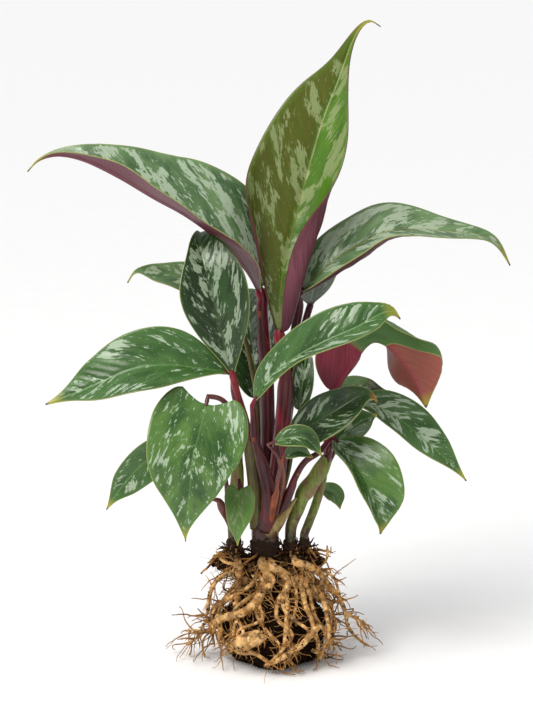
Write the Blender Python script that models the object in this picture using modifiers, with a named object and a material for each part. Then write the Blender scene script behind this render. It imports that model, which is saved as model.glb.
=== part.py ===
"""Bare-rooted apoballis, a house plant with long pointed leaves on purple stalks.

The leaf blades stand on stalks, which join into a main shoot, a short shoot at the left, a jointed cane
and a thin stem at the right. All four stand on a rhizome. Its roots hold a core of soil, and the flat
underside of the soil is what the plant rests on.

Lengths are in millimetres and become metres where a mesh is made. X runs to the right, Y away from the
viewer and Z up, from the middle of the soil's underside.
"""
import math
import random
from collections import namedtuple

import bmesh
import bpy
from mathutils import Vector

MM = 0.001
GAP = 0.35

# Blades
BLADE_THICKNESS = 0.9
TIP_HALF_WIDTH = 0.7
LARGE_GRID = (8, 12)
SMALL_GRID = (4, 8)
STALK_GAP = 0.7
STALK_LEAD = 6.0
STALK_SEGMENTS = 9

# The soil is an egg-shaped core, cut flat where it rests
SOIL_CENTRE_Z = 24.0
SOIL_HALF_WIDTH = 37.0
SOIL_HALF_HEIGHT = 32.0
SOIL_LUMPS = 0.05

# The rhizome lies across the top of the soil, with a flat top for the stems' feet
RHIZOME_CENTRE = Vector((-6.0, 0.0, 71.0))
RHIZOME_HALF_SIZE = Vector((38.0, 15.0, 11.0))
RHIZOME_TOP = 77.5
FOOT_Z = RHIZOME_TOP + GAP

# Roots that wander down all round the soil
SPREADING_ROOTS = 24
SPREADING_ROOT_SEGMENTS = 6
ROOT_SEED = 7
GOLDEN_ANGLE = math.radians(137.5)

# An outline gives where the blade is widest, how fully it rounds in at the base and narrows to the tip,
# how finely drawn out the tip is, how wide its foot is as a share of the half width, and how far its lobes
# reach back past the stalk
Outline = namedtuple("Outline", "widest base taper point foot lobe")
CROWN = Outline(widest=0.42, base=0.4, taper=0.95, point=0.8, foot=0.10, lobe=0.0)
ARCH = Outline(widest=0.24, base=0.6, taper=1.35, point=0.2, foot=0.22, lobe=0.0)
LANCE = Outline(widest=0.36, base=0.55, taper=1.0, point=0.5, foot=0.15, lobe=0.0)
HOOKED = Outline(widest=0.30, base=0.6, taper=1.0, point=1.0, foot=0.08, lobe=0.0)
OVAL = Outline(widest=0.42, base=0.75, taper=0.9, point=0.55, foot=0.10, lobe=0.0)
BROAD = Outline(widest=0.52, base=0.75, taper=0.8, point=0.5, foot=0.10, lobe=0.0)
UPRIGHT = Outline(widest=0.45, base=1.05, taper=1.6, point=0.0, foot=0.08, lobe=0.0)
HEART = Outline(widest=0.22, base=0.5, taper=1.25, point=0.3, foot=0.55, lobe=0.28)

# A leaf has its midrib from the stalk to the tip and half its width. Each half of the blade has values
# that are evenly spaced from the base to the tip: the ways it points, the angles it curls through towards
# its upper side, and its size against the outline. It curls between two shares of the way to its margin.
# The stalk runs from the blade down to its shoot, with its radius at the top and at the bottom.
Leaf = namedtuple("Leaf", "midrib half_width outline left right left_curl right_curl left_bend right_bend "
                          "left_size right_size wave grid stalk radii shoot")


def leaf(midrib, half_width, outline, left, right, stalk, radii, shoot,
         left_curl=(12, 12, 6), right_curl=(12, 12, 6), left_bend=(0, 1), right_bend=(0, 1),
         left_size=(1, 1), right_size=(1, 1), wave=0.6, grid=LARGE_GRID):
    """One leaf, with the values that most leaves share already filled in."""
    return Leaf(midrib, half_width, outline, left, right, left_curl, right_curl, left_bend, right_bend,
                left_size, right_size, wave, grid, stalk, radii, shoot)


LEAVES = {
    "leaf_crown": leaf(
        midrib=[(3, -6, 238), (3, -4, 259), (7, 2, 288), (15, 8, 318), (23, 13, 349), (33, 20, 382),
                (44, 27, 410), (53, 34, 435), (60, 37, 447), (67, 38, 451), (74, 39, 447)],
        half_width=40, outline=CROWN,
        left=[(-1, 0.1, 0), (-1, -0.1, 0.1), (-1, -0.1, 0.2), (-1, 0, 0.3), (-0.9, 0, 0.3)],
        right=[(1, 0, 0), (1, -0.1, 0), (0.75, -0.65, -0.1), (0.45, -0.9, -0.1), (0.4, -0.8, -0.3)],
        left_curl=(120, 120, 20, 5, 5), right_curl=(185, 165, 30, 10, 5),
        left_bend=(0.5, 1), right_bend=(0.3, 0.8),
        left_size=(0.2, 0.62, 1.12, 1, 0.86, 0.6, 0.7), right_size=(1, 1, 1, 0.9, 0.88, 0.45, 0.4),
        stalk=[(6, -8, 224), (7, -9, 196), (5, -9, 168), (1, -7, 132), (-5, -2, 95)],
        radii=(4.0, 5.4), shoot="shoot_main"),
    "leaf_upper_left": leaf(
        midrib=[(-11, 4, 266), (-20, 1, 282), (-38, -5, 303), (-60, -8, 320), (-83, -10, 333),
                (-107, -9, 347), (-131, -6, 358), (-149, -3, 361), (-163, -1, 357), (-171, 0, 349)],
        half_width=37, outline=ARCH,
        left=[(-0.2, -0.8, 0.6), (-0.1, -0.87, 0.5), (0, -0.97, 0.23), (0, -0.94, 0.3), (0, -0.83, 0.55),
              (0, -0.92, 0.35), (0, -0.85, 0.5)],
        right=[(0.3, 0.65, 0.7), (0.35, 0.45, 0.8), (0.3, 0.45, 0.85), (0.1, 0.5, 0.88), (0, 0.6, 0.8)],
        left_curl=(0, 0, 0), right_size=(1.1, 1.12, 1.1, 1.06, 0.7),
        stalk=[(-9, 6, 252), (-8, 8, 234), (-6, 7, 209), (-5, 5, 166), (-6, 2, 123), (-8, 0, 94)],
        radii=(4.2, 4.4), shoot="shoot_main"),
    "leaf_upper_right": leaf(
        midrib=[(19, 6, 266), (31, 5, 278), (45, 5, 290), (60, 5, 299), (76, 6, 307), (94, 6, 309),
                (115, 6, 308), (136, 6, 306), (149, 5, 303), (157, 4, 296), (164, 4, 283)],
        half_width=27, outline=LANCE,
        left=[(-0.3, 0.3, 0.9), (-0.2, 0.6, 0.75), (0, 0.85, 0.5), (0, 0.9, 0.4), (0.5, 0.8, 0.3)],
        right=[(0.2, -0.85, -0.45), (0.1, -0.87, -0.5), (0, -0.98, -0.15), (0, -1, -0.25),
               (-0.5, -0.8, -0.3)],
        right_curl=(100, 100, 30, 5, 0), right_bend=(0.6, 1), left_size=(0.9, 0.86, 0.98, 0.75, 0.8),
        stalk=[(17, 8, 254), (13, 9, 230), (8, 9, 194), (4, 8, 151), (-5, 4, 94)],
        radii=(3.0, 4.2), shoot="shoot_main"),
    "leaf_back_right": leaf(
        midrib=[(25, 18, 254), (28, 50, 260), (34, 85, 266), (42, 118, 270), (50, 145, 268)],
        half_width=16, outline=LANCE,
        left=[(-0.9, 0.2, 0.3), (-0.9, 0.2, 0.3), (-0.9, 0.3, 0)],
        right=[(0.9, -0.2, 0.3), (0.9, -0.3, 0.2), (0.9, -0.3, 0)],
        stalk=[(20, 15, 236), (13, 15, 200), (6, 12, 150), (-5, 6, 94)],
        radii=(2.4, 4.0), shoot="shoot_main"),
    "leaf_small_back_left": leaf(
        midrib=[(-44, 22, 261), (-62, 24, 271), (-80, 23, 276), (-93, 20, 278), (-100, 18, 276),
                (-104, 17, 269)],
        half_width=13, outline=HOOKED, grid=SMALL_GRID,
        left=[(0, -0.7, -0.7), (0, -0.7, -0.7), (0.2, -0.6, -0.7)],
        right=[(0, 0.6, 0.8), (0, 0.6, 0.8), (0, 0.6, 0.8)],
        right_size=(1, 1, 0.75, 0.5, 0.5),
        stalk=[(-28, 20, 248), (-19, 18, 220), (-13, 14, 185), (-11, 8, 135), (-8, 4, 94)],
        radii=(1.5, 2.4), shoot="shoot_main"),
    "leaf_upright_left": leaf(
        midrib=[(-30, -28, 213), (-37, -28, 239), (-43, -26, 265), (-49, -20, 287), (-53, -9, 301),
                (-52, 4, 307), (-50, 18, 301)],
        half_width=26, outline=UPRIGHT,
        left=[(-1, -0.05, 0.15), (-1, -0.05, 0.15), (-1, 0, 0.15)],
        right=[(0.97, -0.25, 0.1), (0.97, -0.25, 0.1), (0.97, -0.2, 0.1)],
        left_size=(0.6, 0.8, 0.83, 0.5, 0.4), right_size=(1.05, 1.05),
        stalk=[(-26, -24, 197), (-19, -18, 171), (-13, -10, 133), (-12, -4, 94)],
        radii=(2.4, 2.8), shoot="shoot_main"),
    "leaf_left": leaf(
        midrib=[(-34, -24, 213), (-48, -30, 216), (-72, -35, 220), (-96, -38, 218), (-120, -38, 208),
                (-141, -36, 199), (-158, -34, 192)],
        half_width=25, outline=OVAL,
        left=[(0.1, -0.8, -0.6), (0, -0.85, -0.5), (0, -0.85, -0.5)],
        right=[(0.2, 0.4, 0.85), (0.1, 0.35, 0.9), (0.1, 0.4, 0.85)],
        left_size=(0.3, 0.8, 1.2, 1, 1), right_size=(1, 1.1, 1, 0.93, 1),
        stalk=[(-28, -22, 195), (-20, -16, 171), (-15, -8, 133), (-13, -2, 94)],
        radii=(2.2, 2.6), shoot="shoot_main"),
    "leaf_heart_front": leaf(
        midrib=[(-47, -48, 195), (-51, -60, 179), (-56, -68, 159), (-58, -70, 137), (-61, -68, 115),
                (-61, -66, 103)],
        half_width=36, outline=HEART,
        left=[(0.9, 0.3, 0.1), (0.95, 0.3, 0.05), (0.95, 0.3, 0)],
        right=[(-1, -0.1, 0.1), (-1, -0.1, 0), (-1, 0, 0)],
        left_size=(0.9, 0.93, 0.95), right_size=(0.93, 1, 1),
        stalk=[(-37, -42, 197), (-30, -32, 186), (-26, -18, 166), (-26, -9, 148)],
        radii=(1.6, 3.0), shoot="shoot_left"),
    "leaf_low_left": leaf(
        midrib=[(-56, -22, 171), (-76, -24, 160), (-94, -24, 146), (-110, -22, 127), (-118, -20, 114)],
        half_width=14.5, outline=OVAL, grid=SMALL_GRID,
        left=[(0.6, -0.2, -0.75), (0.6, -0.2, -0.75), (0.6, -0.2, -0.75)],
        right=[(-0.65, 0.15, 0.75), (-0.65, 0.15, 0.75), (-0.65, 0.15, 0.75)],
        right_size=(0.7, 0.8, 1),
        stalk=[(-42, -20, 160), (-35, -13, 136), (-33, -8, 114), (-30, -3, 96)],
        radii=(1.4, 1.8), shoot="shoot_left"),
    "leaf_small_heart": leaf(
        midrib=[(-25, -36, 133), (-25, -42, 121), (-26, -45, 108), (-26, -44, 94)],
        half_width=11, outline=HEART, grid=SMALL_GRID, wave=0.2,
        left=[(1, 0.1, 0), (1, 0.1, 0), (1, 0, 0)],
        right=[(-0.9, -0.4, 0), (-0.9, -0.4, 0), (-1, 0, 0)],
        stalk=[(-22, -28, 124), (-22, -14, 104), (-27, -4, 92)],
        radii=(1.1, 1.6), shoot="shoot_left"),
    "leaf_right_front": leaf(
        midrib=[(-13, -38, 197), (-4, -42, 213), (13, -47, 227), (34, -50, 239), (54, -50, 248),
                (71, -46, 257), (79, -45, 258), (85, -44, 253)],
        half_width=25, outline=BROAD,
        left=[(-0.4, 0.3, 0.87), (-0.3, 0.35, 0.87), (-0.3, 0.4, 0.8)],
        right=[(0.2, -0.9, -0.2), (0.1, -1, -0.1), (0.2, -0.8, -0.5)],
        left_size=(0.7, 0.7, 0.75, 0.87, 0.9),
        stalk=[(-15, -34, 185), (-14, -30, 167), (-9, -26, 149), (-4, -20, 123), (-6, -8, 96)],
        radii=(1.8, 5.4), shoot="shoot_main"),
    "leaf_right_folded": leaf(
        midrib=[(41, -4, 195), (54, -2, 216), (63, 0, 228), (71, 2, 231), (81, 2, 226), (90, 0, 215),
                (99, -3, 202), (106, -6, 184)],
        half_width=30, outline=BROAD,
        left=[(0.3, 0.9, -0.2), (0.3, 0.9, -0.1), (-0.1, 0.9, -0.1), (-0.45, 0.8, -0.45), (-0.4, 0.85, -0.3)],
        right=[(-0.8, -0.3, 0.5), (-0.8, -0.3, 0.55), (0, 0.2, 1), (0.75, -0.1, 0.6), (0.8, -0.2, 0.4)],
        left_curl=(10, 10, 5), right_curl=(-10, -20, -130, -20, -5), right_size=(2, 1.35, 1, 1.15, 1.4),
        stalk=[(38, -3, 182), (39, -1, 164), (37, 0, 146)],
        radii=(1.8, 2.6), shoot="cane"),
    "leaf_dark_right": leaf(
        midrib=[(9, -28, 165), (25, -36, 178), (43, -40, 190), (58, -40, 199), (66, -39, 199),
                (71, -38, 194)],
        half_width=18, outline=OVAL, grid=SMALL_GRID,
        left=[(-0.5, 0.35, 0.8), (-0.4, 0.35, 0.85), (-0.3, 0.4, 0.8)],
        right=[(0.4, -0.6, -0.7), (0.3, -0.7, -0.65), (0.3, -0.6, -0.7)],
        left_size=(0.85, 0.85),
        stalk=[(6, -24, 150), (3, -18, 130), (-5, -8, 96)],
        radii=(2.0, 3.6), shoot="shoot_main"),
    "leaf_small_front": leaf(
        midrib=[(0, -50, 169), (10, -54, 173), (20, -56, 173), (27, -55, 167), (32, -54, 160)],
        half_width=8.5, outline=OVAL, grid=SMALL_GRID, wave=0.2,
        left=[(0, 0.3, 0.95), (0, 0.3, 0.95), (0.3, 0.3, 0.9)],
        right=[(0, -0.7, -0.6), (0, -0.7, -0.6), (-0.3, -0.6, -0.7)],
        stalk=[(3, -44, 154), (1, -32, 133), (-5, -10, 96)],
        radii=(1.1, 1.6), shoot="shoot_main"),
    "leaf_long_right": leaf(
        midrib=[(60, 11, 184), (74, 9, 181), (90, 5, 172), (106, 1, 159), (121, -2, 146), (130, -3, 137),
                (135, -4, 131)],
        half_width=17, outline=LANCE,
        left=[(0.5, 0.35, 0.7), (0.5, 0.35, 0.7), (0.5, 0.35, 0.7)],
        right=[(-0.5, -0.55, -0.6), (-0.5, -0.55, -0.6), (-0.5, -0.55, -0.6)],
        right_size=(0.5, 0.6, 0.66, 0.7, 0.8),
        stalk=[(52, 14, 165), (43, 14, 150), (36, 12, 137)],
        radii=(1.5, 2.2), shoot="stem_right"),
    "leaf_drooping_right": leaf(
        midrib=[(43, -16, 162), (53, -26, 152), (63, -34, 137), (70, -38, 123), (73, -38, 110),
                (73, -38, 101)],
        half_width=26, outline=OVAL,
        left=[(0.85, 0.15, 0.45), (0.85, 0.15, 0.45), (0.9, 0.1, 0.4)],
        right=[(-0.2, -0.96, -0.13), (-0.2, -0.96, -0.13), (-0.4, -0.8, -0.2)],
        left_size=(1, 1, 1.2),
        stalk=[(31, -18, 155), (21, -18, 148), (14, -16, 136), (6, -12, 114), (-2, -6, 96)],
        radii=(1.8, 3.0), shoot="shoot_main"),
    "leaf_low_behind": leaf(
        midrib=[(43, -8, 160), (51, -8, 169), (61, -7, 175), (72, -4, 179)],
        half_width=12, outline=OVAL, grid=SMALL_GRID, wave=0.3,
        left=[(-0.4, 0.5, 0.75), (-0.4, 0.5, 0.75), (-0.4, 0.5, 0.75)],
        right=[(0.4, -0.6, -0.65), (0.4, -0.6, -0.65), (0.4, -0.6, -0.65)],
        stalk=[(39, -4, 152), (36, -2, 142)],
        radii=(1.3, 2.0), shoot="cane"),
    "leaf_small_right": leaf(
        midrib=[(32, 19, 120), (38, 21, 118), (44, 21, 114), (47, 19, 105)],
        half_width=7, outline=OVAL, grid=SMALL_GRID, wave=0.2,
        left=[(0.3, 0.3, 0.9), (0.5, 0.3, 0.8), (0.8, 0.2, 0.4)],
        right=[(-0.2, -0.7, -0.7), (-0.5, -0.6, -0.6), (-0.8, -0.4, -0.3)],
        stalk=[(30, 16, 112), (26, 11, 103), (23, 6, 96)],
        radii=(1.0, 1.4), shoot="stem_right"),
    "leaf_grey_right": leaf(
        midrib=[(37, 20, 183), (50, 24, 188), (64, 26, 190), (81, 24, 190)],
        half_width=12, outline=OVAL, grid=SMALL_GRID, wave=0.3,
        left=[(0, 0.5, 0.85), (0, 0.5, 0.85), (0, 0.5, 0.85)],
        right=[(0, -0.6, -0.75), (0, -0.6, -0.75), (0, -0.6, -0.75)],
        stalk=[(36, 17, 164), (36, 12, 137)],
        radii=(1.3, 2.0), shoot="stem_right"),
    "leaf_inner_dark": leaf(
        midrib=[(17, -3, 182), (19, -2, 199), (21, 2, 215), (24, 8, 231)],
        half_width=8, outline=LANCE, grid=SMALL_GRID, wave=0.3,
        left=[(-1, -0.1, 0), (-1, -0.1, 0), (-1, 0, 0)],
        right=[(1, -0.2, 0), (1, -0.2, 0), (1, 0, 0)],
        stalk=[(13, -5, 161), (8, -4, 133), (-4, -2, 96)],
        radii=(1.3, 2.4), shoot="shoot_main"),
    "leaf_back_left": leaf(
        midrib=[(-12, 26, 185), (-16, 38, 217), (-20, 60, 241), (-26, 92, 251), (-32, 120, 249)],
        half_width=21, outline=LANCE,
        left=[(-1, 0, 0.2), (-1, 0, 0.2), (-1, 0, 0.1)],
        right=[(1, -0.1, 0.2), (1, -0.1, 0.2), (1, 0, 0.1)],
        stalk=[(-10, 20, 155), (-8, 8, 96)],
        radii=(2.0, 3.0), shoot="shoot_main"),
    "leaf_tiny_front": leaf(
        midrib=[(7, -44, 158), (16, -46, 162), (26, -44, 157)],
        half_width=5, outline=LANCE, grid=SMALL_GRID, wave=0.1,
        left=[(0, 0.3, 0.95), (0, 0.3, 0.95), (0, 0.3, 0.95)],
        right=[(0, -0.6, -0.8), (0, -0.6, -0.8), (0, -0.6, -0.8)],
        stalk=[(5, -30, 138), (-1, -8, 96)],
        radii=(1.0, 1.4), shoot="shoot_main"),
}

# A stem has its middle line from the top down, and its radius at each of those points
Stem = namedtuple("Stem", "path radii")

STEMS = {
    "shoot_main": [
        # the short neck that the stalks rise from, and the orange bract that wraps it
        Stem([(-7, -2, 106), (-7, -2, 94), (-7, -2, 86), (-7, -2, FOOT_Z)], [7.0, 9.5, 9.5, 8.5]),
        Stem([(15, -10, 120), (8, -12, 111), (2, -12, 103), (-4, -8, 95)], [0.9, 2.8, 4.6, 6.0]),
    ],
    "shoot_left": [
        # the stem, and the dried stub at its left
        Stem([(-26, -8, 151), (-27, -6, 125), (-29, -3, 99), (-29, -1, 90), (-29, -1, 84), (-29, -1, FOOT_Z)],
             [3.2, 4.6, 5.0, 4.6, 4.4, 4.4]),
        Stem([(-44, -14, 120), (-39, -13, 118), (-36, -10, 108), (-32, -5, 98)], [1.2, 3.0, 1.4, 1.4]),
    ],
    "cane": [
        # swollen where the joint between its two lengths is
        Stem([(37, 0, 147), (31, 0, 136), (22, 0, 123), (19, 0, 118), (17, 0, 111), (12, 0, 99),
              (11, 0, 91), (11, 0, 85), (11, 0, FOOT_Z)],
             [4.2, 5.8, 5.6, 6.4, 4.8, 4.4, 4.2, 4.0, 4.0]),
    ],
    "stem_right": [
        Stem([(36, 12, 137), (30, 9, 114), (24, 5, 98), (21, 2, 91), (21, 2, 85), (21, 2, FOOT_Z)],
             [2.4, 3.2, 3.2, 3.2, 3.2, 3.2]),
    ],
}

# A root on the front of the ball has places across and up, its radius at each end, and how far off the
# soil it lies
Root = namedtuple("Root", "places radii lift")

FRONT_ROOTS = [
    Root([(-9, 74), (-6, 66), (-9, 57), (-16, 48), (-25, 42), (-34, 38), (-41, 32), (-44, 24)],
         (3.5, 2.6), 4),
    Root([(-2, 72), (7, 66), (16, 61), (25, 58), (34, 54), (46, 47)], (3.5, 2.2), 5),
    Root([(-26, 74), (-25, 62), (-26, 52), (-29, 44)], (3.1, 2.4), 3),
    Root([(-28, 70), (-37, 62), (-44, 54), (-47, 44), (-48, 32)], (1.9, 1.5), 2),
    Root([(15, 74), (23, 71), (30, 65), (38, 55), (45, 46), (50, 35), (52, 24), (57, 17), (66, 9)],
         (3.1, 0.8), 2),
    Root([(50, 34), (57, 30), (65, 26)], (1.2, 0.8), 1),
    Root([(28, 68), (40, 62), (44, 54), (47, 44)], (1.2, 1.0), 2),
    Root([(26, 68), (33, 69), (37, 74), (37, 83)], (1.1, 0.8), 2),
    Root([(7, 64), (8, 50), (8, 36), (7, 22), (8, 9)], (2.2, 1.6), 1),
    Root([(17, 64), (21, 48), (26, 35), (29, 22), (30, 12), (31, 4)], (2.2, 1.1), 3),
    Root([(18, 70), (28, 58), (35, 44), (37, 30), (33, 16)], (2.2, 1.4), 5),
    Root([(-24, 44), (-29, 28), (-30, 14), (-34, 3)], (1.4, 0.9), 3),
    Root([(30, 34), (20, 24), (10, 17), (2, 12), (-7, 7)], (2.6, 1.5), 4),
    Root([(-40, 34), (-36, 20), (-25, 13), (-15, 16), (-7, 12), (-2, 7)], (2.2, 1.4), 2),
    Root([(-40, 26), (-48, 19), (-56, 21), (-64, 20)], (1.3, 0.7), 1),
    Root([(-50, 20), (-57, 14), (-63, 10)], (1.0, 0.7), 1),
    Root([(-40, 40), (-50, 26), (-56, 17)], (1.2, 0.7), 2),
    Root([(26, 14), (33, 8), (40, 10), (47, 12)], (1.3, 0.8), 2),
    Root([(-25, 74), (-35, 73), (-42, 79)], (1.5, 0.9), 1),
]
SWOLLEN_ROOT = [(-29, 22), (-22, 24), (-13, 28), (-5, 30)]
SWOLLEN_RADII = [3.2, 6.2, 5.8, 3.0]


def linear(channel):
    """One sRGB colour channel as the linear value that shading uses."""
    return channel / 12.92 if channel <= 0.04045 else ((channel + 0.055) / 1.055) ** 2.4


def new_material(name, hex_colour, roughness):
    """A plain Principled material."""
    material = bpy.data.materials.new(name)
    material.use_nodes = True
    shader = material.node_tree.nodes["Principled BSDF"]
    channels = [int(hex_colour[start:start + 2], 16) / 255 for start in (0, 2, 4)]
    shader.inputs["Base Color"].default_value = [linear(value) for value in channels] + [1.0]
    shader.inputs["Roughness"].default_value = roughness
    shader.inputs["Metallic"].default_value = 0.0
    return material


def smooth_value(values, share):
    """A value on a smooth curve through evenly spaced values, at a share of the way along."""
    last = len(values) - 1
    place = min(max(share, 0.0), 1.0) * last
    index = min(int(place), last - 1)
    t = place - index
    before = values[max(index - 1, 0)]
    start = values[index]
    end = values[index + 1]
    after = values[min(index + 2, last)]
    return (start + (end - before) * (0.5 * t)
            + (before * 2 - start * 5 + end * 4 - after) * (0.5 * t * t)
            + (start * 3 - before - end * 3 + after) * (0.5 * t * t * t))


def even_shares(count):
    """Shares of a length, from none to all of it, in even steps."""
    return [step / count for step in range(count + 1)]


def smooth_path(points, shares):
    """Places on a smooth curve through the points, at these shares of its length."""
    points = [Vector(point) for point in points]
    fine = 12 * (len(points) - 1)
    dense = [smooth_value(points, step / fine) for step in range(fine + 1)]
    lengths = [0.0]
    for start, end in zip(dense, dense[1:]):
        lengths.append(lengths[-1] + (end - start).length)
    path = []
    index = 0
    for share in shares:
        target = lengths[-1] * share
        while index < fine - 1 and lengths[index + 1] < target:
            index += 1
        span = lengths[index + 1] - lengths[index]
        path.append(dense[index].lerp(dense[index + 1], (target - lengths[index]) / span))
    return path


def half_width_at(outline, share):
    """How wide one half of a blade is, as a share of its widest, at a share of the way to the tip."""
    if share < outline.widest:
        rise = math.sin(0.5 * math.pi * share / outline.widest) ** outline.base
        return outline.foot + (1 - outline.foot) * rise
    fall = (share - outline.widest) / (1 - outline.widest)
    near_tip = max(2 * fall - 1, 0.0)
    drawn_out = 1 - outline.point * near_tip ** 2 * (3 - 2 * near_tip)
    return max(math.cos(0.5 * math.pi * fall), 0.0) ** outline.taper * drawn_out


class Blade:
    """The surface of one leaf blade, as places that depend on how far along and across they are."""

    SAMPLES = 60

    def __init__(self, spec):
        self.spec = spec
        self.midrib = smooth_path(spec.midrib, even_shares(self.SAMPLES))
        self.left = [Vector(way).normalized() for way in spec.left]
        self.right = [Vector(way).normalized() for way in spec.right]

    def midrib_at(self, share):
        """A place on the midrib and the way the midrib runs there."""
        place = share * self.SAMPLES
        index = min(int(place), self.SAMPLES - 1)
        along = (self.midrib[min(index + 2, self.SAMPLES)] - self.midrib[max(index - 1, 0)]).normalized()
        return self.midrib[index].lerp(self.midrib[index + 1], place - index), along

    def place(self, across, share):
        """A place on the blade. Across runs from -1 at the left margin to 1 at the right one."""
        spec = self.spec
        middle, along = self.midrib_at(share)
        is_right = across > 0
        reach = abs(across)
        way = smooth_value(self.right if is_right else self.left, share)
        way = (way - along * way.dot(along)).normalized()
        upper = way.cross(along) if is_right else along.cross(way)
        size = smooth_value(spec.right_size if is_right else spec.left_size, share)
        thin = TIP_HALF_WIDTH * (1.6 - share)
        width = math.hypot(spec.half_width * size * half_width_at(spec.outline, share), thin)
        curl = math.radians(smooth_value(spec.right_curl if is_right else spec.left_curl, share))
        start, end = spec.right_bend if is_right else spec.left_bend
        turn = curl * min(max((reach - start) / (end - start), 0.0), 1.0)
        flat = min(reach, start)
        rest = max(reach - end, 0.0)
        if abs(curl) < 0.001:
            place = middle + way * (width * reach)
        else:
            bend = (end - start) / curl
            out = flat + bend * math.sin(turn) + rest * math.cos(turn)
            lift = bend * (1 - math.cos(turn)) + rest * math.sin(turn)
            place = middle + (way * out + upper * lift) * width
        back = max(reach - 0.2, 0.0) ** 1.3 * (1 - share) ** 5
        place -= along * (spec.outline.lobe * spec.half_width * back)
        ripple = math.sin(2 * math.pi * (2.6 * share + (0.3 if is_right else 0.0)))
        return place + upper * (spec.wave * reach ** 2 * ripple * min(4 * (1 - share), 1.0))


def add_object(name, data, collection, material=None):
    """A new object with this mesh or curve, in the collection."""
    item = bpy.data.objects.new(name, data)
    collection.objects.link(item)
    if material:
        data.materials.clear()
        data.materials.append(material)
    return item


def make_blade(name, spec, collection, material):
    """A leaf blade: a grid bent to the leaf's shape and given its thickness."""
    blade = Blade(spec)
    across_steps, along_steps = spec.grid
    surface = bmesh.new()
    bmesh.ops.create_grid(surface, x_segments=across_steps, y_segments=along_steps, size=1.0)
    for vertex in surface.verts:
        step = (vertex.co.y + 1) / 2
        share = step - 0.07 * math.sin(2 * math.pi * step)
        vertex.co = blade.place(vertex.co.x, min(max(share, 0.0), 1.0)) * MM
    bmesh.ops.triangulate(surface, faces=surface.faces)
    mesh = bpy.data.meshes.new(name)
    surface.to_mesh(mesh)
    surface.free()
    mesh.shade_smooth()
    item = add_object(name, mesh, collection, material)
    solidify = item.modifiers.new("thickness", "SOLIDIFY")
    solidify.thickness = BLADE_THICKNESS * MM
    solidify.offset = 0.0


def mesh_from(item):
    """The finished mesh of an object, as its own mesh, with the object removed."""
    bpy.context.view_layer.update()
    evaluated = item.evaluated_get(bpy.context.evaluated_depsgraph_get())
    mesh = bpy.data.meshes.new_from_object(evaluated)
    mesh.transform(item.matrix_world)
    bpy.data.objects.remove(item)
    return mesh


def make_tube(name, path, radii, collection, resolution=1):
    """A round stem, stalk or root along the path, as a closed mesh."""
    curve = bpy.data.curves.new(name, "CURVE")
    curve.dimensions = "3D"
    curve.bevel_depth = MM
    curve.bevel_resolution = resolution
    curve.use_fill_caps = True
    spline = curve.splines.new("POLY")
    spline.points.add(len(path) - 1)
    for point, place, radius in zip(spline.points, path, radii):
        point.co = (*(place * MM), 1.0)
        point.radius = radius
    mesh = mesh_from(add_object(name, curve, collection))
    welded = bmesh.new()
    welded.from_mesh(mesh)
    bmesh.ops.remove_doubles(welded, verts=welded.verts, dist=0.001 * MM)
    bmesh.ops.recalc_face_normals(welded, faces=welded.faces)
    welded.to_mesh(mesh)
    welded.free()
    return add_object(name, mesh, collection)


def join(name, pieces, collection, material, solver="EXACT"):
    """One closed body from overlapping pieces."""
    others = bpy.data.collections.new(name + "_pieces")
    bpy.context.scene.collection.children.link(others)
    body = pieces[0]
    for piece in pieces[1:]:
        collection.objects.unlink(piece)
        others.objects.link(piece)
    union = body.modifiers.new("union", "BOOLEAN")
    union.operation = "UNION"
    union.operand_type = "COLLECTION"
    union.collection = others
    union.solver = solver
    mesh = mesh_from(body)
    for piece in list(others.objects):
        bpy.data.objects.remove(piece)
    bpy.data.collections.remove(others)
    mesh.name = name
    mesh.shade_smooth()
    mesh.set_sharp_from_angle(angle=math.radians(50))
    add_object(name, mesh, collection, material)


def radii_between(ends, count):
    """Radii that change evenly from the first to the last of a tube's places."""
    first, last = ends
    return [first + (last - first) * step / (count - 1) for step in range(count)]


def stalk_path(spec):
    """A leaf stalk, from just short of the blade and in line with it at first, down to its shoot."""
    foot, along = Blade(spec).midrib_at(0.0)
    points = [foot - along * STALK_LEAD] + [Vector(place) for place in spec.stalk]
    return [foot - along * STALK_GAP] + smooth_path(points, even_shares(STALK_SEGMENTS))


def make_shoot(name, collection, material):
    """A shoot: its stems, and the stalks of the leaves that it bears, as one body."""
    pieces = []
    for index, stem in enumerate(STEMS[name]):
        shares = even_shares(2 * (len(stem.path) - 1))
        path = smooth_path(stem.path, shares)
        radii = [smooth_value(stem.radii, share) for share in shares]
        pieces.append(make_tube(f"{name}_stem_{index}", path, radii, collection, resolution=2))
    for leaf_name, spec in LEAVES.items():
        if spec.shoot == name:
            path = stalk_path(spec)
            radii = radii_between(spec.radii, len(path))
            pieces.append(make_tube(leaf_name + "_stalk", path, radii, collection))
    join(name, pieces, collection, material)


def soil_size(direction):
    """How far the lumpy soil reaches this way, where 1 is the smooth egg."""
    return 1 + SOIL_LUMPS * (math.sin(5 * direction.x + 2 * direction.z) * math.cos(4 * direction.y)
                             + 0.5 * math.sin(9 * direction.y + 6 * direction.z))


def make_soil(collection, material):
    """The core of soil between the roots, with its flat underside at zero height."""
    surface = bmesh.new()
    bmesh.ops.create_uvsphere(surface, u_segments=20, v_segments=10, radius=1.0)
    for vertex in surface.verts:
        direction = vertex.co.normalized()
        size = soil_size(direction)
        vertex.co.x = direction.x * size * SOIL_HALF_WIDTH
        vertex.co.y = direction.y * size * SOIL_HALF_WIDTH
        vertex.co.z = max(direction.z * size * SOIL_HALF_HEIGHT + SOIL_CENTRE_Z, 0.0)
        vertex.co *= MM
    mesh = bpy.data.meshes.new("soil")
    surface.to_mesh(mesh)
    surface.free()
    add_object("soil", mesh, collection, material)


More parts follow.
